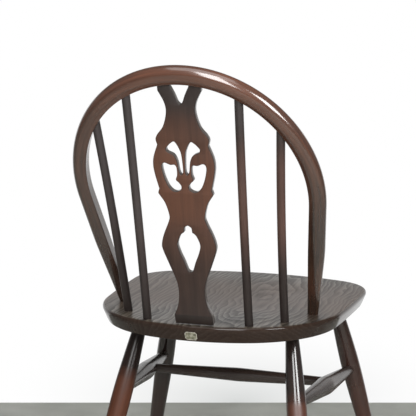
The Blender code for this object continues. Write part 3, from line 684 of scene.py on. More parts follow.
@dataclass
class Seat:
    """Saddled board: plan drawn as arcs that run into each other, rounded above, sloping in below."""

    top: float = 0.4300
    thickness: float = 0.0270
    front: float = -0.2388
    rear: float = 0.1897
    half_width: float = 0.2117
    widest: float = -0.1519
    front_radius: float = 0.480
    side_radius: float = 2.200
    rear_radius: float = 0.289
    front_corner: float = 0.083
    rear_corner: float = 0.169
    edge_round: float = 0.0045
    edge_drop: float = 0.0063
    undercut: float = 0.0085
    dish_depth: float = 0.0065
    dish_share: float = 0.80
    under_round: float = 0.0015
    arc_steps: tuple[int, ...] = (22, 24, 22, 30, 22)
    under_steps: int = 3
    wall_steps: int = 4
    edge_steps: int = 8
    figure_centre: tuple[float, float] = (-0.036, -0.060)
    wear: Spans = ((-0.20, 0.1), (-0.05, 0.7), (0.05, 0.6), (0.16, 0.1), (0.3, 0.0))
    seed: int = 1

    @property
    def underside(self) -> float:
        """Height of the flat underside."""
        return self.top - self.thickness

    @property
    def slope(self) -> float:
        """How far the edge draws in for each metre down."""
        return self.undercut / (self.thickness - self.edge_drop)

    def tangent_centre(self, a: Vector, radius_a: float, b: Vector, radius_b: float, radius: float,
                       towards: float) -> Vector:
        """Centre of a corner circle that runs into two larger circles.

        Args:
            a: centre of the first circle.
            radius_a: its radius.
            b: centre of the second circle.
            radius_b: its radius.
            radius: radius of the corner.
            towards: Y of the end of the seat where the corner lies.

        Returns:
            Centre of the corner circle.
        """
        reach_a, reach_b, span = radius_a - radius, radius_b - radius, b - a
        along = (reach_a ** 2 - reach_b ** 2 + span.length_squared) / (2 * span.length)
        across = math.sqrt(reach_a ** 2 - along ** 2)
        base = a + span.normalized() * along
        side = Vector((-span.y, span.x)).normalized() * across
        return min((base + side, base - side), key=lambda point: abs(point.y - towards))

    def outline(self, inset: float) -> list[Vector]:
        """Plan of the seat, drawn in.

        Args:
            inset: how far it is drawn in.

        Returns:
            Points round the plan, from the middle of the front.
        """
        front = Vector((0.0, self.front + self.front_radius))
        rear = Vector((0.0, self.rear - self.rear_radius))
        side = Vector((self.half_width - self.side_radius, self.widest))
        ahead = self.tangent_centre(front, self.front_radius, side, self.side_radius, self.front_corner,
                                    self.front)
        behind = self.tangent_centre(rear, self.rear_radius, side, self.side_radius, self.rear_corner,
                                     self.rear)
        arcs = ((front, self.front_radius, Vector((0.0, -1.0)), ahead - front),
                (ahead, self.front_corner, ahead - front, ahead - side),
                (side, self.side_radius, ahead - side, behind - side),
                (behind, self.rear_corner, behind - side, behind - rear),
                (rear, self.rear_radius, behind - rear, Vector((0.0, 1.0))))
        half = []
        for (centre, radius, start, end), steps in zip(arcs, self.arc_steps):
            first = math.atan2(start.y, start.x)
            sweep = math.remainder(math.atan2(end.y, end.x) - first, math.tau)
            for i in range(steps):
                angle = first + sweep * i / steps
                half.append(centre + (radius - inset) * Vector((math.cos(angle), math.sin(angle))))
        last = Vector((0.0, self.rear - inset))
        return half + [last] + mirror(half[:0:-1])

    def levels(self) -> list[tuple[float, float]]:
        """(inset, height) steps of the edge from the underside to the flat rim."""
        steps = []
        for k in range(self.under_steps + 1):
            angle = QUARTER_TURN * k / self.under_steps
            steps.append((self.undercut + self.under_round * (1 - math.sin(angle)),
                          -self.thickness + self.under_round * (1 - math.cos(angle))))
        wall = self.thickness - self.under_round - self.edge_drop
        for k in range(1, self.wall_steps + 1):
            rise = wall * (1 - k / self.wall_steps)
            steps.append((self.slope * rise, -self.edge_drop - rise))
        for k in range(1, self.edge_steps + 1):
            angle = QUARTER_TURN * k / self.edge_steps
            steps.append((self.edge_round * (1 - math.cos(angle)), -self.edge_round * (1 - math.sin(angle))))
        return steps

    def dish(self, point: Vector, rim: Sequence[Vector]) -> float:
        """Depth of the saddle under a point of the plan.

        Args:
            point: place on the top.
            rim: outline of the flat rim.

        Returns:
            Depth in metres.
        """
        middle = Vector((0.0, (self.front + self.rear) / 2))
        arm = point - middle
        angle = math.atan2(arm.y, arm.x)

        def turn_to(spot: Vector) -> float:
            """Angle between the arm and a spot on the rim."""
            return abs(math.remainder(math.atan2(spot.y - middle.y, spot.x) - angle, math.tau))

        share = arm.length / ((min(rim, key=turn_to) - middle).length * self.dish_share)
        return self.dish_depth * (1 - share ** 2) ** 2 if share < 1 else 0.0

    def build(self) -> None:
        """Wrap the edge, fill the top with a grid and press the saddle into it."""
        rings = [[Vector((p.x, p.y, z)) for p in self.outline(inset)] for inset, z in self.levels()]
        obj = wrap_sheet(rings, capped=False)
        select_where(obj, lambda vert: vert.is_boundary and vert.co.z > -MERGE)
        quarter_rim = len(rings[0]) // 4
        bpy.ops.mesh.fill_grid(span=quarter_rim, use_interp_simple=True)
        select_where(obj, lambda vert: vert.is_boundary)
        bpy.ops.mesh.edge_face_add()
        point_outwards()
        bpy.ops.object.mode_set(mode="OBJECT")
        rim = self.outline(self.edge_round)
        for vert in obj.data.vertices:
            if vert.co.z > -MERGE:
                vert.co.z -= self.dish(vert.co.to_2d(), rim)
        grain = Matrix.Translation((*self.figure_centre, self.top)) @ Matrix.Rotation(QUARTER_TURN, 4, "X")
        finish = SEAT_ELM.make(self.seed, grain, self.wear, face=Vector((0.0, 0.0, 1.0)))
        settle(obj, "seat_board", Matrix.Translation((0.0, 0.0, self.top)), finish)
        enrol(obj, "seat")


# Turned pieces

@dataclass
class Turning:
    """A piece turned between centres: (height, diameter) steps along its axis, and how far it is sprung."""

    profile: Sequence[Sequence[float]]
    segments: int = 48
    spring: float = 0.0
    sprung_length: float = 1.0

    def shift(self, height: float) -> float:
        """Sideways bend of the axis at a height."""
        share = height / self.sprung_length
        return self.spring * 4 * share * (1 - share)

    def turn(self) -> Object:
        """Draw a disc out along the axis and resize it to each diameter on the way."""
        start, width = self.profile[0]
        deselect_all()
        bpy.ops.mesh.primitive_circle_add(vertices=self.segments, radius=width / 2, fill_type="NGON")
        obj = bpy.context.object
        bpy.ops.object.mode_set(mode="EDIT")
        bpy.ops.transform.translate(value=(self.shift(start), 0.0, start))
        for (last, last_width), (height, width) in zip(self.profile, self.profile[1:]):
            step = (self.shift(height) - self.shift(last), 0.0, height - last)
            bpy.ops.mesh.extrude_region_move(TRANSFORM_OT_translate={"value": step})
            scale, centre = width / last_width, (self.shift(height), 0.0, height)
            bpy.ops.transform.resize(value=(scale, scale, 1.0), center_override=centre)
        point_outwards()
        return obj


@dataclass(frozen=True)
class LegPair:
    """The two legs at one end of the seat: places of the left one, then (left, right) finishes and wear."""

    label: str
    foot: tuple[float, float]
    top: tuple[float, float]
    stretcher_height: float
    finishes: tuple[StainedWood, StainedWood]
    wear: tuple[Spans, Spans]
    seed: int


@dataclass
class Undercarriage:
    """Four splayed legs tied by two side stretchers and one cross stretcher."""

    seat: Seat
    rear: LegPair = LegPair(
        "rear", (0.1983, 0.2102), (0.1292, 0.0602), 0.290, (RUBBED_BEECH, TURNED_BEECH),
        (((0.0, 0.95), (0.30, 0.9), (0.328, 0.75), (0.342, 0.4), (0.356, 0.03), (0.43, 0.0)),
         ((0.0, 0.9), (0.28, 0.85), (0.306, 0.7), (0.32, 0.2), (0.336, 0.0), (0.43, 0.0))), 3)
    front: LegPair = LegPair(
        "front", (0.2336, -0.2635), (0.1478, -0.1730), 0.272, (TURNED_BEECH, TURNED_BEECH),
        (((0.0, 0.5), (0.2, 0.2), (0.3, 0.05), (0.43, 0.0)),
         ((0.0, 0.6), (0.2, 0.5), (0.3, 0.25), (0.43, 0.0))), 5)
    top_diameter: float = 0.0215
    swell_diameter: float = 0.0330
    swell_height: float = 0.280
    shank_diameter: float = 0.0255
    shank_height: float = 0.141
    foot_diameter: float = 0.0175
    straight_neck: float = 0.007
    sole_round: float = 0.0012
    in_seat: float = 0.010
    leg_steps: int = 12
    side_diameter: float = 0.0320
    side_end: float = 0.0170
    side_seed: int = 7
    cross_diameter: float = 0.0240
    cross_end: float = 0.0160
    cross_share: float = 0.60
    cross_seed: int = 9
    stretcher_neck: float = 0.005
    crest_round: float = 0.0040
    taper_steps: int = 20

    def leg_line(self, pair: LegPair, side: Side) -> tuple[Vector, Vector]:
        """Axis of a leg from the floor to the underside of the seat."""
        return (Vector((side.value * pair.foot[0], pair.foot[1], 0.0)),
                Vector((side.value * pair.top[0], pair.top[1], self.seat.underside)))

    def stretcher_end(self, pair: LegPair, side: Side) -> Vector:
        """Point of a leg's axis where the side stretcher runs into it."""
        foot, top = self.leg_line(pair, side)
        return foot.lerp(top, pair.stretcher_height / top.z)

    def build_leg(self, pair: LegPair, side: Side) -> None:
        """Turn a leg, set it on its splay and cut its sole level.

        Args:
            pair: legs that it is one of.
            side: half of the chair.
        """
        foot, top = self.leg_line(pair, side)
        length = (top - foot).length
        stretch = length / top.z
        knots = [(0.0, self.foot_diameter), (self.shank_height * stretch, self.shank_diameter),
                 (self.swell_height * stretch, self.swell_diameter),
                 (length - self.straight_neck, self.top_diameter)]
        profile = [(-2 * self.foot_diameter, self.foot_diameter), *smooth_run(knots, self.leg_steps),
                   (length + self.in_seat, self.top_diameter)]
        place = aim(foot, top)
        obj = Turning(profile).turn()
        name = f"leg_{pair.label}_{side.label}"
        finish = pair.finishes[side.index].make(pair.seed + side.index, place, pair.wear[side.index])
        settle(obj, f"turned_{name}", place, finish)
        saw_level(obj, 0.0, self.sole_round)
        enrol(obj, name)

    def build_stretcher(self, name: str, ends: Sequence[Vector], sizes: tuple[float, float, float],
                        seed: int) -> None:
        """Turn a stretcher with straight tapers from both necks to a crest that is only just rounded.

        Args:
            name: solid that it stands for.
            ends: points on the two axes that it joins.
            sizes: distance from each axis to the taper, diameter at the ends and diameter at the crest.
            seed: pattern number.
        """
        neck, thin, full = sizes
        length = (ends[1] - ends[0]).length
        reach = length / 2 - neck
        fall = (full - thin) / (math.hypot(reach, self.crest_round) - self.crest_round)
        profile = [(0.0, thin)]
        for k in range(-self.taper_steps, self.taper_steps + 1):
            share = k / self.taper_steps
            along = reach * share * abs(share)
            drop = fall * (math.hypot(along, self.crest_round) - self.crest_round)
            profile.append((length / 2 + along, full - drop))
        profile.append((length, thin))
        place = aim(*ends)
        obj = Turning(profile).turn()
        settle(obj, f"turned_{name}", place, STRETCHER_BEECH.make(seed, place))
        enrol(obj, name)

    def build(self) -> None:
        """Turn and set every piece under the seat."""
        cross_ends = []
        neck = self.swell_diameter / 2 + self.stretcher_neck
        for side in Side:
            self.build_leg(self.rear, side)
            self.build_leg(self.front, side)
            ends = [self.stretcher_end(pair, side) for pair in (self.rear, self.front)]
            self.build_stretcher(f"side_stretcher_{side.label}", ends,
                                 (neck, self.side_end, self.side_diameter), self.side_seed + side.index)
            cross_ends.append(ends[0].lerp(ends[1], self.cross_share))
        neck = self.side_diameter / 2 + self.stretcher_neck
        self.build_stretcher("cross_stretcher", cross_ends, (neck, self.cross_end, self.cross_diameter),
                             self.cross_seed)


# Back

@dataclass(frozen=True)
class Station:
    """One section on the bow's path: its inner point and outward direction, and its way from the foot."""

    inner: Vector
    outward: Vector
    section: list[Vector]
    travelled: float


@dataclass
class Bow:
    """Steam-bent bow: straight limbs that run into an ellipse, of D section that ends round at the feet."""

    seat: Seat
    foot_y: float = 0.0494
    lean: float = math.radians(27.5)
    foot_half: float = 0.1529
    half_width: float = 0.1804
    spring: float = 0.2462
    rise: float = 0.1947
    limb_widths: tuple[float, float] = (0.0236, 0.0264)
    top_width: float = 0.0283
    inner_depth: float = 0.0180
    full_depth: float = 0.0256
    fullest: float = 0.0133
    inner_round: float = 0.0015
    foot_diameter: float = 0.0175
    taper_start: float = -0.008
    taper_end: float = 0.130
    proud: float = 0.0002
    wear: Spans = ((0.0, 0.1), (0.22, 0.2), (0.34, 0.3), (0.48, 0.8), (0.6, 0.65), (0.75, 0.4), (0.88, 0.12),
                   (0.96, 0.1), (1.02, 0.35), (1.06, 0.0))
    arch_steps: int = 112
    limb_steps: int = 18
    face_steps: int = 6
    corner_steps: int = 4
    flank_steps: int = 6
    crown_steps: int = 16
    seed: int = 2

    def place(self) -> Matrix:
        """Frame of the bow's plane: X across, Y up the plane, Z towards the front."""
        turn = Matrix.Rotation(QUARTER_TURN - self.lean, 4, "X")
        return Matrix.Translation((0.0, self.foot_y, self.seat.top)) @ turn

    def tangent_angle(self) -> float:
        """Ellipse angle where the straight limb runs into the arch."""
        across, down = self.foot_half / self.half_width, -self.spring / self.rise
        return math.atan2(down, across) + math.acos(1 / math.hypot(across, down))

    def arch(self, angle: float) -> Vector:
        """Point of the inner face at an ellipse angle."""
        return Vector((self.half_width * math.cos(angle), self.spring + self.rise * math.sin(angle)))

    def inner_height(self, half: float) -> float:
        """Distance up the plane to the inner face of the arch at a half width."""
        return self.spring + self.rise * math.sqrt(1 - (half / self.half_width) ** 2)

    def limb(self) -> tuple[Vector, Vector, Vector]:
        """Foot point, upward direction and outward direction of the straight limb on the left."""
        foot = Vector((self.foot_half, 0.0))
        upward = (self.arch(self.tangent_angle()) - foot).normalized()
        return foot, upward, Vector((upward.y, -upward.x))

    def width(self, angle: float, limb: float) -> float:
        """Width of the full section at an ellipse angle: the limb's below the spring, most at the top."""
        return limb + (self.top_width - limb) * max(math.sin(angle), 0.0) ** 2

    def section(self, blend: float, width: float) -> list[Vector]:
        """Section as (outward, across) points, from round at 0 to the full D at 1.

        Args:
            blend: share of the full section.
            width: width of the full section from its inner face.

        Returns:
            Points round the section, from the middle of its inner face.
        """
        half, corner, swell = self.inner_depth / 2, self.inner_round, self.full_depth / 2
        full = [Vector((0.0, (half - corner) * k / self.face_steps)) for k in range(self.face_steps + 1)]
        for k in range(1, self.corner_steps + 1):
            angle = QUARTER_TURN * k / self.corner_steps
            full.append(Vector((corner - corner * math.cos(angle),
                                half - corner + corner * math.sin(angle))))
        for k in range(1, self.flank_steps + 1):
            share = k / self.flank_steps
            full.append(Vector((corner + (self.fullest - corner) * share,
                                half + (swell - half) * math.sin(QUARTER_TURN * share))))
        for k in range(1, self.crown_steps + 1):
            angle = QUARTER_TURN - QUARTER_TURN * k / self.crown_steps
            full.append(Vector((self.fullest + (width - self.fullest) * math.cos(angle),
                                swell * math.sin(angle))))
        full += [Vector((p.x, -p.y)) for p in full[-2:0:-1]]
        radius = self.foot_diameter / 2
        section = []
        for index, point in enumerate(full):
            angle = math.pi - math.tau * index / len(full)
            round_point = Vector((radius + radius * math.cos(angle), radius * math.sin(angle)))
            section.append(round_point.lerp(point, blend))
        return section

    def stations(self, side: Side) -> list[Station]:
        """Half path of the bow, drawn on the left.

        Args:
            side: half of the chair whose sections it has.

        Returns:
            Sections from below the foot to the middle of the arch.
        """
        limb_width = self.limb_widths[side.index]
        foot, upward, outward = self.limb()
        start = self.tangent_angle()
        last = self.arch(start)
        heights = [last.y * k / self.limb_steps for k in range(self.limb_steps)]
        below = (self.seat.thickness + 2 * self.foot_diameter) / math.cos(self.lean)
        stations = []
        for height in [-below, *heights]:
            blend = min(max((height - self.taper_start) / (self.taper_end - self.taper_start), 0.0), 1.0)
            section = self.section(blend, limb_width)
            stations.append(Station(foot + upward * height / upward.y, outward, section, height / upward.y))
        travelled = (last - foot).length
        for k in range(self.arch_steps + 1):
            angle = start + (QUARTER_TURN - start) * k / self.arch_steps
            point = self.arch(angle)
            travelled += (point - last).length
            last = point
            normal = Vector((math.cos(angle) / self.half_width, math.sin(angle) / self.rise)).normalized()
            section = self.section(1.0, self.width(angle, limb_width))
            stations.append(Station(point, normal, section, travelled))
        return stations

    def build(self) -> None:
        """Bend the bar: wrap its skin along the path and keep its straight coordinates for the grain."""
        left, right = self.stations(Side.LEFT), self.stations(Side.RIGHT)
        length = 2 * left[-1].travelled
        rings, grain = [], []
        for side, run in ((Side.LEFT, left), (Side.RIGHT, right[-2::-1])):
            for station in run:
                along = station.travelled if side is Side.LEFT else length - station.travelled
                spots = [(station.inner + station.outward * p.x, p) for p in station.section]
                rings.append([Vector((side.value * spot.x, spot.y, p.y)) for spot, p in spots])
                grain.append([Vector((p.x, p.y, along)) for p in station.section])
        obj = wrap_sheet(rings, grain)
        finish = BENT_BEECH.make(self.seed, Matrix(), self.wear, source=GrainSource.BENT)
        settle(obj, "bent_bow", self.place(), finish)
        saw_level(obj, self.seat.underside - self.proud, self.proud / 2)
        enrol(obj, "back_bow")


@dataclass
class Wedges:
    """Wedges driven up into the saw cuts of the bow's feet and trimmed under the seat."""

    bow: Bow
    length: float = 0.0180
    thick_end: float = 0.0030
    thin_end: float = 0.0012
    side_margin: float = 0.0010
    proud: float = 0.0005
    seed: int = 20

    def place(self, side: Side) -> Matrix:
        """Frame of one wedge.

        Args:
            side: half of the chair.

        Returns:
            Matrix with X out from the bow, Y across it and Z up the foot.
        """
        foot, upward, outward = self.bow.limb()
        drop = self.bow.seat.thickness / (math.cos(self.bow.lean) * upward.y)
        base = foot + outward * self.bow.foot_diameter / 2 - upward * drop
        out_axis = Vector((side.value * outward.x, outward.y, 0.0))
        up_axis = Vector((side.value * upward.x, upward.y, 0.0))
        turn = Matrix((out_axis, up_axis.cross(out_axis), up_axis)).transposed().to_4x4()
        return self.bow.place() @ Matrix.Translation((side.value * base.x, base.y, 0.0)) @ turn

    def build(self) -> None:
        """Split a wedge off, taper it, drive it in and trim it, for each foot."""
        below = self.bow.foot_diameter
        low_thick = self.thick_end + (self.thick_end - self.thin_end) * below / self.length
        width = self.bow.foot_diameter - 2 * self.side_margin
        for side in Side:
            deselect_all()
            bpy.ops.mesh.primitive_cube_add(size=1.0)
            obj = bpy.context.object
            bpy.ops.object.mode_set(mode="EDIT")
            bpy.ops.transform.resize(value=(width, low_thick, self.length + below))
            bpy.ops.transform.translate(value=(0.0, 0.0, (self.length - below) / 2))
            select_where(obj, lambda vert: vert.co.z > 0.0)
            bpy.ops.transform.resize(value=(1.0, self.thin_end / low_thick, 1.0))
            place = self.place(side)
            finish = END_BEECH.make(self.seed + side.index, place)
            settle(obj, f"driven_wedge_{side.label}", place, finish)
            saw_level(obj, self.bow.seat.underside - self.proud, self.proud / 2)
            enrol(obj, f"bow_wedge_{side.label}")


@dataclass(frozen=True)
class RodPair:
    """Two like spindles: foot of the left one, half width along the bow and bend towards the splat."""

    label: str
    foot: tuple[float, float]
    top: float
    spring: float
    seed: int


@dataclass
class Spindles:
    """Four slim rods between the seat and the bow, with (left, right) wear and painted grey sheen."""

    seat: Seat
    bow: Bow
    pairs: tuple[RodPair, ...] = (RodPair("outer", (0.1321, 0.1181), 0.1480, 0.0019, 11),
                                  RodPair("inner", (0.0848, 0.1605), 0.0895, 0.0009, 13))
    diameter: float = 0.0136
    setback: float = 0.0010
    in_seat: float = 0.008
    in_bow: float = 0.008
    steps: int = 24
    segments: int = 32
    wear: tuple[Spans, Spans] = (((0.0, 0.0), (0.08, 0.05), (0.18, 0.2), (0.26, 0.15), (0.34, 0.05)),
                                 ((0.0, 0.0), (0.08, 0.05), (0.18, 0.7), (0.26, 0.5), (0.34, 0.05)))
    # Painted grey sheen that stands for reflections, over most of the left spindles and at the tops of the
    # right ones
    painted_shade_and_sheen: tuple[Spans, Spans] = (((0.0, 0.0), (0.1, 0.3), (0.2, 0.8), (0.36, 0.8)),
                                  ((0.0, 0.0), (0.29, 0.0), (0.36, 0.7)))

    def build_one(self, pair: RodPair, side: Side) -> None:
        """Turn one spindle and spring it in.

        Args:
            pair: spindles that it is one of.
            side: half of the chair.
        """
        start = Vector((side.value * pair.foot[0], pair.foot[1], self.seat.top))
        top = Vector((side.value * pair.top, self.bow.inner_height(pair.top), -self.setback))
        end = self.bow.place() @ top
        length = (end - start).length
        run = length + self.in_seat + self.in_bow
        profile = [(run * k / self.steps - self.in_seat, self.diameter) for k in range(self.steps + 1)]
        place = aim(start, end)
        obj = Turning(profile, self.segments, side.value * pair.spring, length).turn()
        name = f"spindle_{pair.label}_{side.label}"
        finish = SPINDLE_BEECH.make(pair.seed + side.index, place, self.wear[side.index],
                                    self.painted_shade_and_sheen[side.index])
        settle(obj, f"turned_{name}", place, finish)
        enrol(obj, name)

    def build(self) -> None:
        """Turn the four spindles."""
        for side in Side:
            for pair in self.pairs:
                self.build_one(pair, side)


@dataclass
class Splat:
    """Pierced board, drawn as half outlines in millimetres: half width, then height above the seat."""

    seat: Seat
    bow: Bow
    foot_y: float = 0.1848
    lean: float = math.radians(11.0)
    thickness: float = 0.0100
    foot_thickness: float = 0.0140
    foot_height: float = 0.0160
    prong_depth: float = 0.0080
    edge_round: float = 0.0012
    edge_steps: int = 2
    foot_sink: float = 1.0
    drawn_length: float = 396.9
    foot_half: float = 31.2
    prong_outer: float = 34.5
    prong_inner: float = 14.9
    prong_corner: float = 386.0
    notch_corner: float = 393.0
    low_nick: tuple[float, float] = (42.1, 228.0)
    high_nick: tuple[float, float] = (40.7, 299.5)
    drop_shoulder: tuple[float, float] = (6.6, 157.2)
    lower_body: tuple = ((25.0, 30.5), (21.6, 50.0), (23.4, 72.0), (33.8, 101.0), (43.0, 126.0),
                         (44.0, 137.0), (39.7, 152.6), (30.6, 174.0), (28.8, 184.5), (34.0, 204.0),
                         (41.2, 216.0), (44.1, 221.1))
    middle_body: tuple = ((47.5, 251.0), (49.4, 266.0), (47.7, 280.4))
    upper_body: tuple = ((42.7, 308.5), (39.3, 316.3), (29.3, 329.7), (23.3, 351.5), (25.4, 368.0))
    notch: tuple = ((8.5, 380.0), (4.1, 368.6), (0.0, 364.2))
    petal: tuple = ((12.4, 304.6), (19.2, 302.4), (25.9, 295.6), (27.0, 292.5), (25.0, 288.6),
                    (15.5, 283.6), (10.5, 273.5), (8.1, 257.3), (4.9, 251.8), (1.9, 257.5), (2.5, 277.5),
                    (4.7, 290.6))
    sepal: tuple = ((35.6, 265.0), (33.3, 249.9), (27.8, 234.7), (21.3, 226.2), (14.6, 224.1), (7.6, 227.3),
                    (6.1, 233.0), (9.7, 238.8), (14.2, 243.6), (11.9, 251.4), (12.0, 262.5), (14.8, 267.5),
                    (22.0, 267.4), (31.2, 270.5))
    drop_cap: tuple = ((0.0, 168.6), (5.4, 164.9))
    drop_body: tuple = ((13.1, 151.3), (18.3, 136.8), (15.5, 123.2), (9.1, 107.4), (4.2, 93.2), (0.0, 90.2))
    steps: int = 8
    wear: Spans = ((0.0, 0.0), (0.09, 0.1), (0.15, 0.4), (0.19, 0.78), (0.26, 0.8), (0.31, 0.55),
                   (0.365, 0.05))
    # Painted shade: darker at the foot by the seat and at the top under the bow
    painted_shade_and_sheen: Spans = ((0.0, 0.6), (0.015, 0.75), (0.018, 0.25), (0.06, 0.1), (0.1, 0.0), (0.335, 0.0),
                    (0.375, 0.8))
    seed: int = 15

    def top(self) -> float:
        """Height up the blade where its middle meets the inner face of the bow."""
        half = (self.prong_outer + self.prong_inner) / 2 * MILLIMETRE
        across_bow = Vector((math.sin(self.bow.lean), math.cos(self.bow.lean)))
        up_blade = Vector((math.sin(self.lean), math.cos(self.lean)))
        ahead = Vector((-math.cos(self.lean), math.sin(self.lean)))
        crease = Vector((self.foot_y - self.bow.foot_y, self.foot_height)) + ahead * self.thickness / 2
        reach = self.bow.inner_height(half) - crease.dot(across_bow)
        return self.foot_height + reach / up_blade.dot(across_bow)

    def outlines(self) -> list[list[Vector]]:
        """Outer outline and pierced shapes in metres on the flat blade, stretched from foot to bow."""
        top, foot = self.top() / MILLIMETRE, self.foot_height / MILLIMETRE
        scale = (top - foot) / (self.drawn_length - foot)
        prong_end = foot + (top + self.prong_depth / MILLIMETRE - foot) / scale
        corner = (self.prong_outer, self.prong_corner)
        half = [Vector((self.foot_half, -self.foot_sink))]
        for run in ([(self.foot_half, foot), *self.lower_body, self.low_nick],
                    [self.low_nick, *self.middle_body, self.high_nick],
                    [self.high_nick, *self.upper_body, corner]):
            half += smooth_run(run, self.steps)[:-1]
        half.append(Vector(corner))
        half += [Vector((across, prong_end)) for across in (self.prong_outer, self.prong_inner)]
        half += smooth_run([(self.prong_inner, self.notch_corner), *self.notch], self.steps)
        drop = smooth_run([*self.drop_cap, self.drop_shoulder], self.steps)[:-1]
        drop += smooth_run([self.drop_shoulder, *self.drop_body], self.steps)
        loops = [half + mirror(half[-2::-1]), drop + mirror(drop[-2:0:-1])]
        for knots in (self.petal, self.sepal):
            loop = smooth_run(knots, self.steps, closed=True)
            loops += [loop, mirror(loop)]
        placed = []
        for loop in loops:
            heights = [foot + (p.y - foot) * scale if p.y > foot else p.y for p in loop]
            placed.append([Vector((p.x, height)) * MILLIMETRE for p, height in zip(loop, heights)])
        return placed

    def saw(self) -> Object:
        """Saw the board out of a flat curve with eased edges, its rear face at Z = 0."""
        deselect_all()
        bpy.ops.curve.primitive_bezier_circle_add()
        obj = bpy.context.object
        curve = obj.data
        curve.splines.clear()
        curve.dimensions = "2D"
        curve.fill_mode = "BOTH"
        curve.extrude = self.thickness / 2 - self.edge_round
        curve.bevel_depth = self.edge_round
        curve.bevel_resolution = self.edge_steps
        curve.offset = -self.edge_round
        for loop in self.outlines():
            spline = curve.splines.new("POLY")
            spline.points.add(len(loop) - 1)
            for point, spot in zip(spline.points, loop):
                point.co = (spot.x, spot.y, 0.0, 1.0)
            spline.use_cyclic_u = True
        bpy.ops.object.convert(target="MESH")
        bpy.ops.object.mode_set(mode="EDIT")
        sew()
        point_outwards()
        bpy.ops.transform.translate(value=(0.0, 0.0, self.thickness / 2))
        return obj

    def build(self) -> None:
        """Saw the blade, then set its foot upright under the lean and thicken it towards the seat."""
        obj = self.saw()
        bpy.ops.mesh.bisect(plane_co=(0.0, self.foot_height, 0.0), plane_no=(0.0, 1.0, 0.0))
        bpy.ops.object.mode_set(mode="OBJECT")
        hinge = Matrix.Translation((0.0, self.foot_height, 0.0))
        upright = hinge @ Matrix.Rotation(-self.lean, 4, "X") @ hinge.inverted()
        growth = self.foot_thickness / self.thickness - 1
        for vert in obj.data.vertices:
            share = 1 - vert.co.y / self.foot_height
            if share > MERGE:
                vert.co = upright @ Vector((vert.co.x, vert.co.y, vert.co.z * (1 + growth * share)))
        turn = Matrix.Rotation(QUARTER_TURN - self.lean, 4, "X")
        crease = Vector((0.0, self.foot_y, self.seat.top + self.foot_height))
        place = Matrix.Translation(crease) @ turn @ hinge.inverted()
        grain = place @ Matrix.Rotation(-QUARTER_TURN, 4, "X")
        finish = SAWN_BEECH.make(self.seed, grain, self.wear, self.painted_shade_and_sheen, turn.col[2].to_3d())
        settle(obj, "pierced_splat", place, finish)
        enrol(obj, "splat")


@dataclass
class EdgeLabel:
    """Plain foil label with clipped corners, laid on the sloping rear edge of the seat."""

    seat: Seat
    x: float = 0.0037
    width: float = 0.0200
    height: float = 0.0140
    below_top: float = 0.0170
    clip: float = 0.0030
    rim: float = 0.0010
    lift: float = 0.0002
    thickness: float = 0.0003
    strips: int = 8

    def build(self) -> None:
        """Clip a small sheet, bare its rim, lay it on the edge and give it its thickness."""
        deselect_all()
        bpy.ops.mesh.primitive_plane_add(size=1.0)
        obj = bpy.context.object
        for finish in (LABEL_RIM, LABEL_FOIL):
            obj.data.materials.append(finish.make())
        bpy.ops.object.mode_set(mode="EDIT")
        bpy.ops.transform.resize(value=(self.width, self.height, 1.0))
        bpy.ops.mesh.bevel(offset=self.clip, affect="VERTICES")
        bpy.ops.mesh.select_all(action="SELECT")
        bpy.ops.mesh.inset(thickness=self.rim)
        obj.active_material_index = 1
        bpy.ops.object.material_slot_assign()
        for k in range(1, self.strips):
            cut = self.width * (k / self.strips - 0.5)
            bpy.ops.mesh.select_all(action="SELECT")
            bpy.ops.mesh.bisect(plane_co=(cut, 0.0, 0.0), plane_no=(1.0, 0.0, 0.0))
        bpy.ops.object.mode_set(mode="OBJECT")
        seat = self.seat
        for vert in obj.data.vertices:
            drop = self.below_top - vert.co.y
            x = self.x - vert.co.x
            radius = seat.rear_radius - seat.slope * (drop - seat.edge_drop) + self.lift
            vert.co = (x, seat.rear - seat.rear_radius + math.sqrt(radius ** 2 - x ** 2), -drop)
        solid = obj.modifiers.new("thickness", "SOLIDIFY")
        solid.thickness = self.thickness
        solid.offset = 1.0
        bpy.ops.object.modifier_apply(modifier=solid.name)
        settle(obj, "foil_label", Matrix.Translation((0.0, 0.0, seat.top)))
        enrol(obj, "edge_label")


# Studio

@dataclass(frozen=True)
class Softbox:
    """One soft lamp: place, target, size and the glow of its face, where a lit white wall is 1."""

    name: str
    place: tuple[float, float, float]
    target: tuple[float, float, float]
    width: float
    height: float
    glow: float

    def hang(self) -> None:
        """Hang the lamp, out of the camera's sight."""
        data = bpy.data.lights.new(self.name, "AREA")
        data.shape = "RECTANGLE"
        data.size = self.width
        data.size_y = self.height
        data.energy = self.glow * math.pi * self.width * self.height
        lamp = set_up(data, self.place, Vector(self.target) - Vector(self.place))
        lamp.visible_camera = False


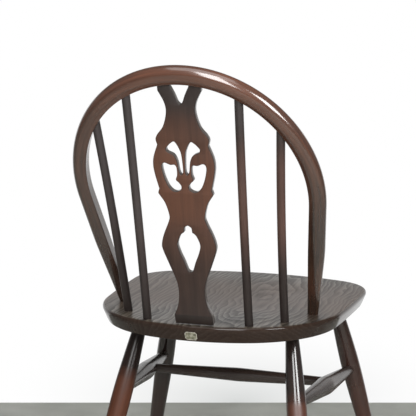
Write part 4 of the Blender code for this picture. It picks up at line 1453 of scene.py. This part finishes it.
@dataclass
class Studio:
    """Pale floor, white wall, soft lamps and the camera of the photograph."""

    eye: tuple[float, float, float] = (-0.7356, 2.5242, 1.0364)
    heading: float = math.radians(16.91)
    pitch: float = math.radians(9.67)
    lens_mm: float = 137.95
    sensor_mm: float = 36.0
    wall_distance: float = 3.47
    wall_size: tuple[float, float] = (4.0, 2.6)
    wall_colour: str = "F4F4F2"
    wall_roughness: float = 0.9
    wall_lit_colour: str = "FFFFFF"
    wall_shade_colour: str = "D8DAD9"
    wall_shade_size: tuple[float, float] = (0.55, 0.20)
    wall_shade_right: float = 0.07
    wall_dim_colour: str = "6E6E6C"
    wall_lit_height: tuple[float, float] = (0.93, 1.25)
    wall_lit_half: tuple[float, float] = (0.85, 1.50)
    floor_size: float = 14.0
    floor_dark: str = "74766F"
    floor_pale: str = "BCBDB8"
    floor_cloud_mm: float = 180.0
    floor_detail: float = 4.0
    floor_roughness: float = 0.7
    room_colour: str = "D8D8D6"
    room_strength: float = 0.30
    lamps: tuple[Softbox, ...] = (
        Softbox("ceiling_panel", (-0.1, 1.2, 2.75), (0.0, 0.2, 0.6), 2.2, 1.8, 1.7),
        Softbox("window_behind", (-0.40, 2.79, 1.90), (0.0, 0.1, 0.7), 1.02, 2.20, 8.8),
        Softbox("window_right", (-1.69, 1.36, 1.37), (0.0, 0.1, 0.7), 0.75, 1.00, 13.0))

    def level_look(self) -> Vector:
        """Direction in which the camera looks, along the floor."""
        return Vector((math.sin(self.heading), -math.cos(self.heading), 0.0))

    def wall_foot(self) -> Vector:
        """Point at the foot of the wall straight ahead of the camera."""
        return Vector((self.eye[0], self.eye[1], 0.0)) + self.level_look() * self.wall_distance

    def set_camera(self) -> None:
        """Place the camera at the photograph's angle."""
        data = bpy.data.cameras.new("camera")
        data.lens = self.lens_mm
        data.sensor_width = self.sensor_mm
        look = self.level_look() * math.cos(self.pitch) - Vector((0.0, 0.0, math.sin(self.pitch)))
        bpy.context.scene.camera = set_up(data, self.eye, look)

    def lay_floor(self) -> None:
        """Lay the pale floor of smoothed concrete, whose trowel leaves soft clouds."""
        deselect_all()
        bpy.ops.mesh.primitive_plane_add(size=self.floor_size)
        floor = bpy.context.object
        floor.name = "floor"
        material, tree, shader = new_material("trowelled_concrete_floor")
        spot = add_node(tree, "TexCoord").outputs["Object"]
        cloud = add_node(tree, "TexNoise", {"Vector": spot, "Scale": per_metre(self.floor_cloud_mm),
                                            "Detail": self.floor_detail})
        ramp = add_node(tree, "ValToRGB", {"Fac": cloud.outputs["Fac"]})
        set_stops(ramp, ((0.0, linear(self.floor_dark)), (1.0, linear(self.floor_pale))))
        fill_sockets(tree, shader, {"Base Color": ramp.outputs[0], "Roughness": self.floor_roughness})
        floor.data.materials.append(material)

    def raise_wall(self) -> None:
        """Raise the white wall beyond the chair; it is open from behind, so other views see past it."""
        deselect_all()
        bpy.ops.mesh.primitive_plane_add(size=1.0)
        wall = bpy.context.object
        wall.name = "wall"
        turn = (-self.level_look()).to_track_quat("Z", "Y").to_matrix().to_4x4()
        size = Matrix.Diagonal((self.wall_size[0], self.wall_size[1], 1.0, 1.0))
        middle = self.wall_foot() + Vector((0.0, 0.0, self.wall_size[1] / 2))
        wall.matrix_world = Matrix.Translation(middle) @ turn @ size
        bpy.ops.object.transform_apply(location=True, rotation=True, scale=True)
        wall.data.materials.append(self.paint_wall())

    def paint_wall(self) -> Material:
        """White emulsion on plaster, which shows as a lit wall does and is clear from behind."""
        material, tree, shader = new_material("white_emulsion_wall")
        fill_sockets(tree, shader, {"Base Color": linear(self.wall_colour),
                                    "Roughness": self.wall_roughness})
        rays = add_node(tree, "LightPath").outputs
        seen = rays["Is Camera Ray"]
        for kind in ("Is Glossy Ray", "Is Transmission Ray"):
            seen = add_node(tree, "Math", {0: seen, 1: rays[kind]}, operation="MAXIMUM").outputs[0]
        white = add_node(tree, "Emission", {"Color": self.wall_light(tree), "Strength": 1.0})
        front = add_node(tree, "MixShader", {0: seen, 1: shader.outputs[0], 2: white.outputs[0]})
        clear = add_node(tree, "BsdfTransparent")
        back = add_node(tree, "NewGeometry").outputs["Backfacing"]
        skin = add_node(tree, "MixShader", {0: back, 1: front.outputs[0], 2: clear.outputs[0]})
        tree.links.new(skin.outputs[0], tree.nodes["Material Output"].inputs["Surface"])
        return material

    def wall_light(self, tree: NodeTree) -> NodeSocket:
        """White that the wall shows: lit round the chair, in soft shade at its foot, dim far out.

        Args:
            tree: node tree of the wall's material.

        Returns:
            Socket of the colour.
        """
        spot = add_node(tree, "TexCoord").outputs["Object"]
        rightward = self.level_look().cross(Vector((0.0, 0.0, 1.0)))
        turn = (0.0, 0.0, math.atan2(rightward.y, rightward.x))
        wide, high = self.wall_shade_size
        pool = add_node(tree, "Mapping", {"Vector": spot, "Rotation": turn, "Scale": (wide, 1.0, high),
                                          "Location": self.wall_foot() + rightward * self.wall_shade_right},
                        vector_type="TEXTURE")
        depth = add_node(tree, "TexGradient", {"Vector": pool.outputs[0]}, gradient_type="QUADRATIC_SPHERE")
        shade = add_node(tree, "ValToRGB", {"Fac": depth.outputs["Fac"]})
        set_stops(shade, ((0.0, linear(self.wall_lit_colour)), (1.0, linear(self.wall_shade_colour))))
        level = add_node(tree, "Mapping", {"Vector": spot, "Location": self.wall_foot(), "Rotation": turn},
                         vector_type="TEXTURE")
        away = add_node(tree, "SeparateXYZ", {0: level.outputs[0]}).outputs
        aside = add_node(tree, "Math", {0: away["X"]}, operation="ABSOLUTE").outputs[0]
        falls = [add_node(tree, "MapRange", {"Value": far, "From Min": lit, "From Max": dark},
                          interpolation_type="SMOOTHSTEP").outputs[0]
                 for far, (lit, dark) in ((away["Z"], self.wall_lit_height), (aside, self.wall_lit_half))]
        dim = add_node(tree, "Math", {0: falls[0], 1: falls[1]}, operation="MAXIMUM").outputs[0]
        inputs = {AMOUNT: dim, COLOUR_A: shade.outputs[0], COLOUR_B: linear(self.wall_dim_colour)}
        return add_node(tree, "Mix", inputs, data_type="RGBA").outputs[COLOUR_OUT]

    def light(self) -> None:
        """Light the room evenly and hang the soft lamps."""
        world = bpy.data.worlds.new("room")
        world.use_nodes = True
        tree = world.node_tree
        fill_sockets(tree, tree.nodes["Background"], {"Color": linear(self.room_colour),
                                                      "Strength": self.room_strength})
        bpy.context.scene.world = world
        for lamp in self.lamps:
            lamp.hang()
        bpy.context.scene.view_settings.view_transform = "Standard"

    def build(self) -> None:
        """Set up everything round the chair."""
        self.set_camera()
        self.lay_floor()
        self.raise_wall()
        self.light()


def main() -> None:
    """Build every piece in order, then the studio round the chair."""
    logging.basicConfig(level=logging.INFO, format="%(message)s")
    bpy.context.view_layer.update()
    seat = Seat()
    seat.build()
    Undercarriage(seat).build()
    bow = Bow(seat)
    bow.build()
    Wedges(bow).build()
    Spindles(seat, bow).build()
    Splat(seat, bow).build()
    EdgeLabel(seat).build()
    Studio().build()


if __name__ == "__main__":
    main()
